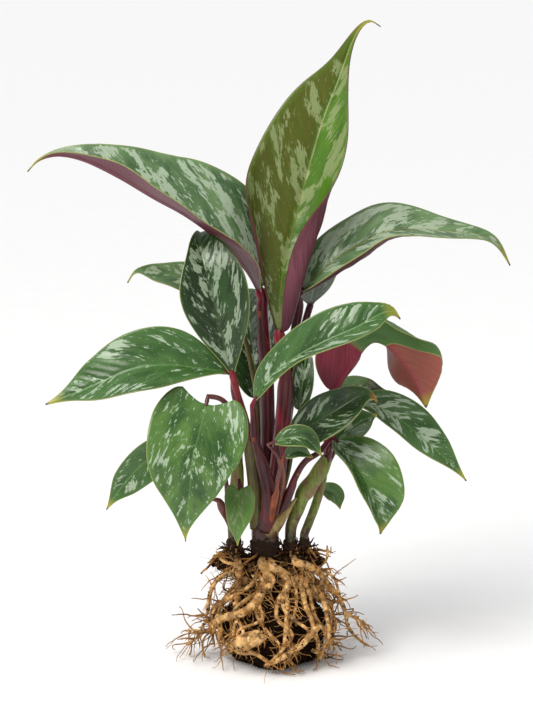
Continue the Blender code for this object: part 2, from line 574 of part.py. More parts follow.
def clear_reach(place, radius, lift):
    """How far from the upright axis a root of this radius must be at this place, to clear the soil."""
    direction = Vector((place.x / SOIL_HALF_WIDTH, place.y / SOIL_HALF_WIDTH,
                        (place.z - SOIL_CENTRE_Z) / SOIL_HALF_HEIGHT)).normalized()
    reach = soil_size(direction) + (radius + 2 * GAP + lift) / SOIL_HALF_WIDTH
    height = (place.z - SOIL_CENTRE_Z) / SOIL_HALF_HEIGHT
    return SOIL_HALF_WIDTH * math.sqrt(max(reach ** 2 - height ** 2, 0.0))


def clear_of_soil(place, radius, lift):
    """The place moved outwards, level, until a root of this radius clears the soil and the ground."""
    place = Vector((place.x, place.y, max(place.z, radius + 0.8)))
    level = Vector((place.x, place.y, 0.0))
    needed = clear_reach(place, radius, lift)
    if level.length < needed:
        level = level.normalized() * needed
    return Vector((level.x, level.y, place.z))


def front_root_path(root):
    """A root that lies on the front of the ball, from its places across and up."""
    shares = even_shares(3 * (len(root.places) - 1) // 2)
    radii = radii_between(root.radii, len(shares))
    path = []
    for place, radius in zip(smooth_path([(x, 0.0, z) for x, z in root.places], shares), radii):
        reach = clear_reach(Vector((0.0, -1.0, place.z)), radius, root.lift)
        depth = math.sqrt(max(reach ** 2 - place.x ** 2, 1.0))
        path.append(clear_of_soil(Vector((place.x, -depth, place.z)), radius, root.lift))
    return path


def spreading_root(index, draw):
    """A root that leaves the rhizome at its own side, and wanders down round the ball."""
    angle = GOLDEN_ANGLE * index + draw.uniform(-0.3, 0.3)
    wander = draw.uniform(-0.7, 0.7)
    lift = draw.uniform(0.0, 9.0)
    end_height = draw.uniform(3.0, 26.0)
    top_radius = draw.uniform(1.3, 2.3)
    sway = draw.uniform(0.1, 0.3)
    turns = draw.uniform(1.0, 2.0)
    path = [RHIZOME_CENTRE + Vector((math.cos(angle) * 22, math.sin(angle) * 8, -2))]
    radii = [top_radius]
    for share in even_shares(SPREADING_ROOT_SEGMENTS)[1:]:
        radius = top_radius * (1 - 0.55 * share)
        heading = angle + wander * share + sway * math.sin(2 * math.pi * turns * share)
        height = RHIZOME_CENTRE.z - 2 + (end_height - RHIZOME_CENTRE.z) * share ** 1.15
        spread = 20 + 10 * share
        place = Vector((math.cos(heading) * spread, math.sin(heading) * spread, height))
        path.append(clear_of_soil(place, radius, lift * min(3 * share, 1.0)))
        radii.append(radius)
    return path, radii


def make_rhizome(collection):
    """The knobbly rhizome, flat where the stems stand on it."""
    surface = bmesh.new()
    bmesh.ops.create_uvsphere(surface, u_segments=18, v_segments=10, radius=1.0)
    for vertex in surface.verts:
        direction = vertex.co.normalized()
        knobs = 1 + 0.06 * math.sin(7 * direction.x + 3 * direction.y) + 0.04 * math.cos(9 * direction.y)
        size = RHIZOME_HALF_SIZE * knobs
        offset = Vector(far * reach for far, reach in zip(direction, size))
        vertex.co = RHIZOME_CENTRE + offset
        vertex.co.z = min(vertex.co.z, RHIZOME_TOP)
        vertex.co *= MM
    mesh = bpy.data.meshes.new("rhizome")
    surface.to_mesh(mesh)
    surface.free()
    return add_object("rhizome", mesh, collection)


def make_roots(collection, material):
    """The rhizome and the roots that grow from it, as one body."""
    pieces = [make_rhizome(collection)]
    for index, root in enumerate(FRONT_ROOTS):
        path = front_root_path(root)
        radii = radii_between(root.radii, len(path))
        pieces.append(make_tube(f"front_root_{index}", path, radii, collection))
    widest = max(SWOLLEN_RADII)
    path = front_root_path(Root(SWOLLEN_ROOT, (widest, widest), 0))
    radii = [smooth_value(SWOLLEN_RADII, share) for share in even_shares(len(path) - 1)]
    pieces.append(make_tube("swollen_root", path, radii, collection, resolution=2))
    draw = random.Random(ROOT_SEED)
    for index in range(SPREADING_ROOTS):
        path, radii = spreading_root(index, draw)
        pieces.append(make_tube(f"root_{index}", path, radii, collection, resolution=0))
    join("rhizome_with_roots", pieces, collection, material, solver="MANIFOLD")


def main():
    for item in list(bpy.data.objects):
        bpy.data.objects.remove(item)
    plant = bpy.data.collections.new("apoballis")
    bpy.context.scene.collection.children.link(plant)

    green = new_material("leaf green", "35602a", 0.4)
    purple = new_material("stalk purple", "5a2432", 0.45)
    stem_green = new_material("stem green", "8a9a4a", 0.5)
    root_tan = new_material("root tan", "c9a066", 0.8)
    soil_brown = new_material("soil brown", "1e120a", 0.95)

    for name, spec in LEAVES.items():
        make_blade(name, spec, plant, green)
    make_shoot("shoot_main", plant, purple)
    make_shoot("shoot_left", plant, stem_green)
    make_shoot("cane", plant, stem_green)
    make_shoot("stem_right", plant, stem_green)
    make_roots(plant, root_tan)
    make_soil(plant, soil_brown)


main()
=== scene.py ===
"""The finished looks of a bare-rooted apoballis plant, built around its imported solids.

Each leaf blade, shoot, root and the soil is made again in finer detail where its solid stands. The shape
data repeats that of the solids. Lengths are in millimetres unless a comment says metres, and become metres
where a mesh is made. The settings are in metres. X runs to the right, Y away from the viewer and Z up.
"""

import math
import random
from collections import namedtuple

import bmesh
import bpy
from bpy.props import FloatProperty, FloatVectorProperty, IntProperty, PointerProperty
from mathutils import Euler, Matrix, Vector, noise


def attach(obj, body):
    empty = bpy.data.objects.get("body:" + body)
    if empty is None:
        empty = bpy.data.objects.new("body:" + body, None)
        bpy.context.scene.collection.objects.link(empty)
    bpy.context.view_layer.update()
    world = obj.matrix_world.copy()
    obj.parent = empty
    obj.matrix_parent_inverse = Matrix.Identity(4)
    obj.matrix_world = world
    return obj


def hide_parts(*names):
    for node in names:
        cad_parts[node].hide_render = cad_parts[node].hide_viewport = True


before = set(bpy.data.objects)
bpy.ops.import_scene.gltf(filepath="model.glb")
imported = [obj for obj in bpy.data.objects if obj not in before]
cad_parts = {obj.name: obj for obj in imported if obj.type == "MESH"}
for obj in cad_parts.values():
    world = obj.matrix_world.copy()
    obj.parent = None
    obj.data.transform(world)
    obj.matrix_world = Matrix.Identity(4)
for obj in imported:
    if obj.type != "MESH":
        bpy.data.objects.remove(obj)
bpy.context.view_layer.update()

bl_info = {
    "name": "Bare-rooted apoballis",
    "version": (1, 0, 0),
    "blender": (4, 5, 0),
    "location": "3D View > Sidebar > Apoballis",
    "description": "Makes the leaves, stalks, roots and soil of a bare-rooted apoballis",
    "category": "Add Mesh",
}

MM = 0.001

# The gap between two solids that seem to touch
GAP = 0.35

# How finely a blade is divided across and along, how wide half its tip still is, and how far its stalk
# runs straight on before it bends
LARGE_GRID = (32, 90)
SMALL_GRID = (20, 40)
TIP_HALF_WIDTH = 0.7
STALK_LEAD = 6.0

# How far side veins lean towards the tip for each step out, and how much more at the margin
VEIN_LEAN = 1.15
VEIN_CURVE = 0.5

# How many waves a margin's ripple has
RIPPLES = 2.6

TUBE_STEPS = 40
SHEATH_THICKNESS = 0.8
SHEATH_ROWS = 36
SHEATH_COLUMNS = 16

# How deep a tube's wrinkles are and how large, in metres
STALK_WRINKLES = {"wrinkle": 0.0005, "wrinkle_size": 0.005}
COLLAR_WRINKLES = {"wrinkle": 0.005, "wrinkle_size": 0.003}
ROOTLET_WRINKLES = {"wrinkle": 0.0002, "wrinkle_size": 0.002}
ROOT_WRINKLE_SIZE = 0.0022

# The soil is an egg-shaped core, cut flat where it rests
SOIL_CENTRE_Z = 24.0
SOIL_HALF_WIDTH = 37.0
SOIL_HALF_HEIGHT = 32.0
SOIL_LUMPS = 0.05

# The rhizome lies across the top of the soil, with a flat top for the stems' feet
RHIZOME_CENTRE = Vector((-6.0, 0.0, 71.0))
RHIZOME_HALF_SIZE = Vector((38.0, 15.0, 11.0))
RHIZOME_TOP = 77.5
STEM_FEET = [Vector((-29, -1, 0)), Vector((-7, -2, 0)), Vector((11, 0, 0)), Vector((21, 2, 0))]
FOOT_Z = RHIZOME_TOP + GAP

# A collar of cork round each stem's foot begins inside the stem by its inset, and swells as it goes down
COLLAR_HEIGHT = 18.0
COLLAR_INSET = 1.6
COLLAR_SWELL = 2.8
COLLAR_LUMPS = 1.8
COLLAR_STEPS = 60
COLLAR_SIDES = 48

# Small roots and dry fibres grow round each stem's foot: how many, how far they rise as they spread, and
# between which lengths and radii they are
FOOT_ROOTS = {"count": 9, "lift": -1.2, "lengths": (12, 34), "thickness": (0.6, 1.6), "seed": 3}
FOOT_FIBRES = {"count": 34, "lift": 0.5, "lengths": (3, 10), "thickness": (0.4, 0.9), "seed": 5}

# Roots that wander down all round the soil. A front root that starts higher than OVER_RHIZOME_Z comes over
# the rhizome from a stem's foot.
SPREADING_ROOTS = 24
SPREADING_ROOT_SEGMENTS = 6
ROOT_SEED = 7
ROOTLET_SEED = 19
ROOTLET_STEPS = 9
ROOTLET_SIDES = 6
ROOT_SWELL = 0.16
OVER_RHIZOME_Z = 68
GOLDEN_ANGLE = math.radians(137.5)

# A turn of nearly the whole circle, in radians
WHOLE_TURN = 6.28

# The stage, in metres: what the camera looks at, the way the window's light falls and how far that is
# spread, the lamp, the camera's sensor in millimetres, and how far the floor is below the plant
LOOKED_AT = Vector((-0.006, 0.0, 0.22))
WINDOW_HEADING = Vector((0.45, 0.5, -1.0))
WINDOW_SPREAD = math.radians(50)
LAMP_PLACE = Vector((-0.75, -1.0, 1.2))
LAMP_SIZE = 0.6
LAMP_COLOUR = (1.0, 0.96, 0.89)
SENSOR_HEIGHT = 24.0
FLOOR_DROP = 0.0002

# An outline gives where the blade is widest, how fully it rounds in at the base and narrows to the tip,
# how finely drawn out the tip is, how wide its foot is as a share of the half width, and how far its lobes
# reach back past the stalk
Outline = namedtuple("Outline", "widest base taper point foot lobe")
CROWN = Outline(widest=0.42, base=0.4, taper=0.95, point=0.8, foot=0.10, lobe=0.0)
ARCH = Outline(widest=0.24, base=0.6, taper=1.35, point=0.2, foot=0.22, lobe=0.0)
LANCE = Outline(widest=0.36, base=0.55, taper=1.0, point=0.5, foot=0.15, lobe=0.0)
HOOKED = Outline(widest=0.30, base=0.6, taper=1.0, point=1.0, foot=0.08, lobe=0.0)
OVAL = Outline(widest=0.42, base=0.75, taper=0.9, point=0.55, foot=0.10, lobe=0.0)
BROAD = Outline(widest=0.52, base=0.75, taper=0.8, point=0.5, foot=0.10, lobe=0.0)
UPRIGHT = Outline(widest=0.45, base=1.05, taper=1.6, point=0.0, foot=0.08, lobe=0.0)
HEART = Outline(widest=0.22, base=0.5, taper=1.25, point=0.3, foot=0.55, lobe=0.28)

# A leaf has its midrib from the stalk to the tip and half its width. Each half of the blade has values
# that are evenly spaced from the base to the tip: the ways it points, the angles it curls through towards
# its upper side, and its size against the outline. It curls between two shares of the way to its margin.
# The stalk runs from the blade down to its shoot, with its radius at the top and at the bottom. What most
# leaves share is already filled in.
Leaf = namedtuple("Leaf", "midrib half_width outline left right stalk radii shoot "
                          "left_curl right_curl left_bend right_bend left_size right_size wave grid",
                  defaults=((12, 12, 6), (12, 12, 6), (0, 1), (0, 1), (1, 1), (1, 1), 0.6, LARGE_GRID))

LEAVES = {
    "leaf_crown": Leaf(
        midrib=[(3, -6, 238), (3, -4, 259), (7, 2, 288), (15, 8, 318), (23, 13, 349), (33, 20, 382),
                (44, 27, 410), (53, 34, 435), (60, 37, 447), (67, 38, 451), (74, 39, 447)],
        half_width=40, outline=CROWN,
        left=[(-1, 0.1, 0), (-1, -0.1, 0.1), (-1, -0.1, 0.2), (-1, 0, 0.3), (-0.9, 0, 0.3)],
        right=[(1, 0, 0), (1, -0.1, 0), (0.75, -0.65, -0.1), (0.45, -0.9, -0.1), (0.4, -0.8, -0.3)],
        left_curl=(120, 120, 20, 5, 5), right_curl=(185, 165, 30, 10, 5),
        left_bend=(0.5, 1), right_bend=(0.3, 0.8),
        left_size=(0.2, 0.62, 1.12, 1, 0.86, 0.6, 0.7), right_size=(1, 1, 1, 0.9, 0.88, 0.45, 0.4),
        stalk=[(6, -8, 224), (7, -9, 196), (5, -9, 168), (1, -7, 132), (-5, -2, 95)],
        radii=(4.0, 5.4), shoot="shoot_main"),
    "leaf_upper_left": Leaf(
        midrib=[(-11, 4, 266), (-20, 1, 282), (-38, -5, 303), (-60, -8, 320), (-83, -10, 333),
                (-107, -9, 347), (-131, -6, 358), (-149, -3, 361), (-163, -1, 357), (-171, 0, 349)],
        half_width=37, outline=ARCH,
        left=[(-0.2, -0.8, 0.6), (-0.1, -0.87, 0.5), (0, -0.97, 0.23), (0, -0.94, 0.3), (0, -0.83, 0.55),
              (0, -0.92, 0.35), (0, -0.85, 0.5)],
        right=[(0.3, 0.65, 0.7), (0.35, 0.45, 0.8), (0.3, 0.45, 0.85), (0.1, 0.5, 0.88), (0, 0.6, 0.8)],
        left_curl=(0, 0, 0), right_size=(1.1, 1.12, 1.1, 1.06, 0.7),
        stalk=[(-9, 6, 252), (-8, 8, 234), (-6, 7, 209), (-5, 5, 166), (-6, 2, 123), (-8, 0, 94)],
        radii=(4.2, 4.4), shoot="shoot_main"),
    "leaf_upper_right": Leaf(
        midrib=[(19, 6, 266), (31, 5, 278), (45, 5, 290), (60, 5, 299), (76, 6, 307), (94, 6, 309),
                (115, 6, 308), (136, 6, 306), (149, 5, 303), (157, 4, 296), (164, 4, 283)],
        half_width=27, outline=LANCE,
        left=[(-0.3, 0.3, 0.9), (-0.2, 0.6, 0.75), (0, 0.85, 0.5), (0, 0.9, 0.4), (0.5, 0.8, 0.3)],
        right=[(0.2, -0.85, -0.45), (0.1, -0.87, -0.5), (0, -0.98, -0.15), (0, -1, -0.25),
               (-0.5, -0.8, -0.3)],
        right_curl=(100, 100, 30, 5, 0), right_bend=(0.6, 1), left_size=(0.9, 0.86, 0.98, 0.75, 0.8),
        stalk=[(17, 8, 254), (13, 9, 230), (8, 9, 194), (4, 8, 151), (-5, 4, 94)],
        radii=(3.0, 4.2), shoot="shoot_main"),
    "leaf_back_right": Leaf(
        midrib=[(25, 18, 254), (28, 50, 260), (34, 85, 266), (42, 118, 270), (50, 145, 268)],
        half_width=16, outline=LANCE,
        left=[(-0.9, 0.2, 0.3), (-0.9, 0.2, 0.3), (-0.9, 0.3, 0)],
        right=[(0.9, -0.2, 0.3), (0.9, -0.3, 0.2), (0.9, -0.3, 0)],
        stalk=[(20, 15, 236), (13, 15, 200), (6, 12, 150), (-5, 6, 94)],
        radii=(2.4, 4.0), shoot="shoot_main"),
    "leaf_small_back_left": Leaf(
        midrib=[(-44, 22, 261), (-62, 24, 271), (-80, 23, 276), (-93, 20, 278), (-100, 18, 276),
                (-104, 17, 269)],
        half_width=13, outline=HOOKED, grid=SMALL_GRID,
        left=[(0, -0.7, -0.7), (0, -0.7, -0.7), (0.2, -0.6, -0.7)],
        right=[(0, 0.6, 0.8)],
        right_size=(1, 1, 0.75, 0.5, 0.5),
        stalk=[(-28, 20, 248), (-19, 18, 220), (-13, 14, 185), (-11, 8, 135), (-8, 4, 94)],
        radii=(1.5, 2.4), shoot="shoot_main"),
    "leaf_upright_left": Leaf(
        midrib=[(-30, -28, 213), (-37, -28, 239), (-43, -26, 265), (-49, -20, 287), (-53, -9, 301),
                (-52, 4, 307), (-50, 18, 301)],
        half_width=26, outline=UPRIGHT,
        left=[(-1, -0.05, 0.15), (-1, -0.05, 0.15), (-1, 0, 0.15)],
        right=[(0.97, -0.25, 0.1), (0.97, -0.25, 0.1), (0.97, -0.2, 0.1)],
        left_size=(0.6, 0.8, 0.83, 0.5, 0.4), right_size=(1.05, 1.05),
        stalk=[(-26, -24, 197), (-19, -18, 171), (-13, -10, 133), (-12, -4, 94)],
        radii=(2.4, 2.8), shoot="shoot_main"),
    "leaf_left": Leaf(
        midrib=[(-34, -24, 213), (-48, -30, 216), (-72, -35, 220), (-96, -38, 218), (-120, -38, 208),
                (-141, -36, 199), (-158, -34, 192)],
        half_width=25, outline=OVAL,
        left=[(0.1, -0.8, -0.6), (0, -0.85, -0.5), (0, -0.85, -0.5)],
        right=[(0.2, 0.4, 0.85), (0.1, 0.35, 0.9), (0.1, 0.4, 0.85)],
        left_size=(0.3, 0.8, 1.2, 1, 1), right_size=(1, 1.1, 1, 0.93, 1),
        stalk=[(-28, -22, 195), (-20, -16, 171), (-15, -8, 133), (-13, -2, 94)],
        radii=(2.2, 2.6), shoot="shoot_main"),
    "leaf_heart_front": Leaf(
        midrib=[(-47, -48, 195), (-51, -60, 179), (-56, -68, 159), (-58, -70, 137), (-61, -68, 115),
                (-61, -66, 103)],
        half_width=36, outline=HEART,
        left=[(0.9, 0.3, 0.1), (0.95, 0.3, 0.05), (0.95, 0.3, 0)],
        right=[(-1, -0.1, 0.1), (-1, -0.1, 0), (-1, 0, 0)],
        left_size=(0.9, 0.93, 0.95), right_size=(0.93, 1, 1),
        stalk=[(-37, -42, 197), (-30, -32, 186), (-26, -18, 166), (-26, -9, 148)],
        radii=(1.6, 3.0), shoot="shoot_left"),
    "leaf_low_left": Leaf(
        midrib=[(-56, -22, 171), (-76, -24, 160), (-94, -24, 146), (-110, -22, 127), (-118, -20, 114)],
        half_width=14.5, outline=OVAL, grid=SMALL_GRID,
        left=[(0.6, -0.2, -0.75)],
        right=[(-0.65, 0.15, 0.75)],
        right_size=(0.7, 0.8, 1),
        stalk=[(-42, -20, 160), (-35, -13, 136), (-33, -8, 114), (-30, -3, 96)],
        radii=(1.4, 1.8), shoot="shoot_left"),
    "leaf_small_heart": Leaf(
        midrib=[(-25, -36, 133), (-25, -42, 121), (-26, -45, 108), (-26, -44, 94)],
        half_width=11, outline=HEART, grid=SMALL_GRID, wave=0.2,
        left=[(1, 0.1, 0), (1, 0.1, 0), (1, 0, 0)],
        right=[(-0.9, -0.4, 0), (-0.9, -0.4, 0), (-1, 0, 0)],
        stalk=[(-22, -28, 124), (-22, -14, 104), (-27, -4, 92)],
        radii=(1.1, 1.6), shoot="shoot_left"),
    "leaf_right_front": Leaf(
        midrib=[(-13, -38, 197), (-4, -42, 213), (13, -47, 227), (34, -50, 239), (54, -50, 248),
                (71, -46, 257), (79, -45, 258), (85, -44, 253)],
        half_width=25, outline=BROAD,
        left=[(-0.4, 0.3, 0.87), (-0.3, 0.35, 0.87), (-0.3, 0.4, 0.8)],
        right=[(0.2, -0.9, -0.2), (0.1, -1, -0.1), (0.2, -0.8, -0.5)],
        left_size=(0.7, 0.7, 0.75, 0.87, 0.9),
        stalk=[(-15, -34, 185), (-14, -30, 167), (-9, -26, 149), (-4, -20, 123), (-6, -8, 96)],
        radii=(1.8, 5.4), shoot="shoot_main"),
    "leaf_right_folded": Leaf(
        midrib=[(41, -4, 195), (54, -2, 216), (63, 0, 228), (71, 2, 231), (81, 2, 226), (90, 0, 215),
                (99, -3, 202), (106, -6, 184)],
        half_width=30, outline=BROAD,
        left=[(0.3, 0.9, -0.2), (0.3, 0.9, -0.1), (-0.1, 0.9, -0.1), (-0.45, 0.8, -0.45), (-0.4, 0.85, -0.3)],
        right=[(-0.8, -0.3, 0.5), (-0.8, -0.3, 0.55), (0, 0.2, 1), (0.75, -0.1, 0.6), (0.8, -0.2, 0.4)],
        left_curl=(10, 10, 5), right_curl=(-10, -20, -130, -20, -5), right_size=(2, 1.35, 1, 1.15, 1.4),
        stalk=[(38, -3, 182), (39, -1, 164), (37, 0, 146)],
        radii=(1.8, 2.6), shoot="cane"),
    "leaf_dark_right": Leaf(
        midrib=[(9, -28, 165), (25, -36, 178), (43, -40, 190), (58, -40, 199), (66, -39, 199),
                (71, -38, 194)],
        half_width=18, outline=OVAL, grid=SMALL_GRID,
        left=[(-0.5, 0.35, 0.8), (-0.4, 0.35, 0.85), (-0.3, 0.4, 0.8)],
        right=[(0.4, -0.6, -0.7), (0.3, -0.7, -0.65), (0.3, -0.6, -0.7)],
        left_size=(0.85, 0.85),
        stalk=[(6, -24, 150), (3, -18, 130), (-5, -8, 96)],
        radii=(2.0, 3.6), shoot="shoot_main"),
    "leaf_small_front": Leaf(
        midrib=[(0, -50, 169), (10, -54, 173), (20, -56, 173), (27, -55, 167), (32, -54, 160)],
        half_width=8.5, outline=OVAL, grid=SMALL_GRID, wave=0.2,
        left=[(0, 0.3, 0.95), (0, 0.3, 0.95), (0.3, 0.3, 0.9)],
        right=[(0, -0.7, -0.6), (0, -0.7, -0.6), (-0.3, -0.6, -0.7)],
        stalk=[(3, -44, 154), (1, -32, 133), (-5, -10, 96)],
        radii=(1.1, 1.6), shoot="shoot_main"),
    "leaf_long_right": Leaf(
        midrib=[(60, 11, 184), (74, 9, 181), (90, 5, 172), (106, 1, 159), (121, -2, 146), (130, -3, 137),
                (135, -4, 131)],
        half_width=17, outline=LANCE,
        left=[(0.5, 0.35, 0.7)],
        right=[(-0.5, -0.55, -0.6)],
        right_size=(0.5, 0.6, 0.66, 0.7, 0.8),
        stalk=[(52, 14, 165), (43, 14, 150), (36, 12, 137)],
        radii=(1.5, 2.2), shoot="stem_right"),
    "leaf_drooping_right": Leaf(
        midrib=[(43, -16, 162), (53, -26, 152), (63, -34, 137), (70, -38, 123), (73, -38, 110),
                (73, -38, 101)],
        half_width=26, outline=OVAL,
        left=[(0.85, 0.15, 0.45), (0.85, 0.15, 0.45), (0.9, 0.1, 0.4)],
        right=[(-0.2, -0.96, -0.13), (-0.2, -0.96, -0.13), (-0.4, -0.8, -0.2)],
        left_size=(1, 1, 1.2),
        stalk=[(31, -18, 155), (21, -18, 148), (14, -16, 136), (6, -12, 114), (-2, -6, 96)],
        radii=(1.8, 3.0), shoot="shoot_main"),
    "leaf_low_behind": Leaf(
        midrib=[(43, -8, 160), (51, -8, 169), (61, -7, 175), (72, -4, 179)],
        half_width=12, outline=OVAL, grid=SMALL_GRID, wave=0.3,
        left=[(-0.4, 0.5, 0.75)],
        right=[(0.4, -0.6, -0.65)],
        stalk=[(39, -4, 152), (36, -2, 142)],
        radii=(1.3, 2.0), shoot="cane"),
    "leaf_small_right": Leaf(
        midrib=[(32, 19, 120), (38, 21, 118), (44, 21, 114), (47, 19, 105)],
        half_width=7, outline=OVAL, grid=SMALL_GRID, wave=0.2,
        left=[(0.3, 0.3, 0.9), (0.5, 0.3, 0.8), (0.8, 0.2, 0.4)],
        right=[(-0.2, -0.7, -0.7), (-0.5, -0.6, -0.6), (-0.8, -0.4, -0.3)],
        stalk=[(30, 16, 112), (26, 11, 103), (23, 6, 96)],
        radii=(1.0, 1.4), shoot="stem_right"),
    "leaf_grey_right": Leaf(
        midrib=[(37, 20, 183), (50, 24, 188), (64, 26, 190), (81, 24, 190)],
        half_width=12, outline=OVAL, grid=SMALL_GRID, wave=0.3,
        left=[(0, 0.5, 0.85)],
        right=[(0, -0.6, -0.75)],
        stalk=[(36, 17, 164), (36, 12, 137)],
        radii=(1.3, 2.0), shoot="stem_right"),
    "leaf_inner_dark": Leaf(
        midrib=[(17, -3, 182), (19, -2, 199), (21, 2, 215), (24, 8, 231)],
        half_width=8, outline=LANCE, grid=SMALL_GRID, wave=0.3,
        left=[(-1, -0.1, 0), (-1, -0.1, 0), (-1, 0, 0)],
        right=[(1, -0.2, 0), (1, -0.2, 0), (1, 0, 0)],
        stalk=[(13, -5, 161), (8, -4, 133), (-4, -2, 96)],
        radii=(1.3, 2.4), shoot="shoot_main"),
    "leaf_back_left": Leaf(
        midrib=[(-12, 26, 185), (-16, 38, 217), (-20, 60, 241), (-26, 92, 251), (-32, 120, 249)],
        half_width=21, outline=LANCE,
        left=[(-1, 0, 0.2), (-1, 0, 0.2), (-1, 0, 0.1)],
        right=[(1, -0.1, 0.2), (1, -0.1, 0.2), (1, 0, 0.1)],
        stalk=[(-10, 20, 155), (-8, 8, 96)],
        radii=(2.0, 3.0), shoot="shoot_main"),
    "leaf_tiny_front": Leaf(
        midrib=[(7, -44, 158), (16, -46, 162), (26, -44, 157)],
        half_width=5, outline=LANCE, grid=SMALL_GRID, wave=0.1,
        left=[(0, 0.3, 0.95)],
        right=[(0, -0.6, -0.8)],
        stalk=[(5, -30, 138), (-1, -8, 96)],
        radii=(1.0, 1.4), shoot="shoot_main"),
}

# A stem has its middle line from the top down, and its radius at each of those places
Stem = namedtuple("Stem", "path radii")

STEMS = {
    "shoot_main": [
        # the short neck that the stalks rise from, and the tan bract that wraps it
        Stem([(-7, -2, 106), (-7, -2, 94), (-7, -2, 86), (-7, -2, FOOT_Z)], [7.0, 9.5, 9.5, 8.5]),
        Stem([(15, -10, 120), (8, -12, 111), (2, -12, 103), (-4, -8, 95)], [0.9, 2.8, 4.6, 6.0]),
    ],
    "shoot_left": [
        # the stem, and the dried stub at its left
        Stem([(-26, -8, 151), (-27, -6, 125), (-29, -3, 99), (-29, -1, 90), (-29, -1, 84), (-29, -1, FOOT_Z)],
             [3.2, 4.6, 5.0, 4.6, 4.4, 4.4]),
        Stem([(-44, -14, 120), (-39, -13, 118), (-36, -10, 108), (-32, -5, 98)], [1.2, 3.0, 1.4, 1.4]),
    ],
    "cane": [
        # swollen where the joint between its two lengths is
        Stem([(37, 0, 147), (31, 0, 136), (22, 0, 123), (19, 0, 118), (17, 0, 111), (12, 0, 99),
              (11, 0, 91), (11, 0, 85), (11, 0, FOOT_Z)],
             [4.2, 5.8, 5.6, 6.4, 4.8, 4.4, 4.2, 4.0, 4.0]),
    ],
    "stem_right": [
        Stem([(36, 12, 137), (30, 9, 114), (24, 5, 98), (21, 2, 91), (21, 2, 85), (21, 2, FOOT_Z)],
             [2.4, 3.2, 3.2, 3.2, 3.2, 3.2]),
    ],
}

# A root on the front of the ball has places across and up, its radius at each end, and how far off the
# soil it lies
Root = namedtuple("Root", "places radii lift")

FRONT_ROOTS = [
    Root([(-9, 74), (-6, 66), (-9, 57), (-16, 48), (-25, 42), (-34, 38), (-41, 32), (-44, 24)],
         (3.5, 2.6), 4),
    Root([(-2, 72), (7, 66), (16, 61), (25, 58), (34, 54), (46, 47)], (3.5, 2.2), 5),
    Root([(-26, 74), (-25, 62), (-26, 52), (-29, 44)], (3.1, 2.4), 3),
    Root([(-28, 70), (-37, 62), (-44, 54), (-47, 44), (-48, 32)], (1.9, 1.5), 2),
    Root([(15, 74), (23, 71), (30, 65), (38, 55), (45, 46), (50, 35), (52, 24), (57, 17), (66, 9)],
         (3.1, 0.8), 2),
    Root([(50, 34), (57, 30), (65, 26)], (1.2, 0.8), 1),
    Root([(28, 68), (40, 62), (44, 54), (47, 44)], (1.2, 1.0), 2),
    Root([(26, 68), (33, 69), (37, 74), (37, 83)], (1.1, 0.8), 2),
    Root([(7, 64), (8, 50), (8, 36), (7, 22), (8, 9)], (2.2, 1.6), 1),
    Root([(17, 64), (21, 48), (26, 35), (29, 22), (30, 12), (31, 4)], (2.2, 1.1), 3),
    Root([(18, 70), (28, 58), (35, 44), (37, 30), (33, 16)], (2.2, 1.4), 5),
    Root([(-24, 44), (-29, 28), (-30, 14), (-34, 3)], (1.4, 0.9), 3),
    Root([(30, 34), (20, 24), (10, 17), (2, 12), (-7, 7)], (2.6, 1.5), 4),
    Root([(-40, 34), (-36, 20), (-25, 13), (-15, 16), (-7, 12), (-2, 7)], (2.2, 1.4), 2),
    Root([(-40, 26), (-48, 19), (-56, 21), (-64, 20)], (1.3, 0.7), 1),
    Root([(-50, 20), (-57, 14), (-63, 10)], (1.0, 0.7), 1),
    Root([(-40, 40), (-50, 26), (-56, 17)], (1.2, 0.7), 2),
    Root([(26, 14), (33, 8), (40, 10), (47, 12)], (1.3, 0.8), 2),
    Root([(-25, 74), (-35, 73), (-42, 79)], (1.5, 0.9), 1),
]
SWOLLEN_ROOT = [(-29, 22), (-22, 24), (-13, 28), (-5, 30)]
SWOLLEN_RADII = [3.2, 6.2, 5.8, 3.0]


# How a leaf looks: its dark and bright green, the colour of its blotches, the share of the blade that they
# cover, how large they are, how far they are drawn out along the side veins, and the ground colour of its
# left half where that differs. Then its underside, the underside's far half where that differs, and the
# colour that shows where the leaf folds over. The folded leaf's far half is rose brown, lighter where it is
# lit, so partly its own colour and partly painted light. Last its midrib, its thin margin, its tip, the dry
# point of that, and a number that sets its markings apart from the others. What most leaves share is filled
# in.
Look = namedtuple("Look", "dark bright blotch cover patch streak left under far_under fold midrib margin tip "
                          "point seed",
                  defaults=("deep_green", "fresh_green", "silver", 0.25, 1.0, 1.0, None, "mauve", None, None,
                            "pale_rib", "pale_margin", "yellow_tip", "dry_point", 1.0))

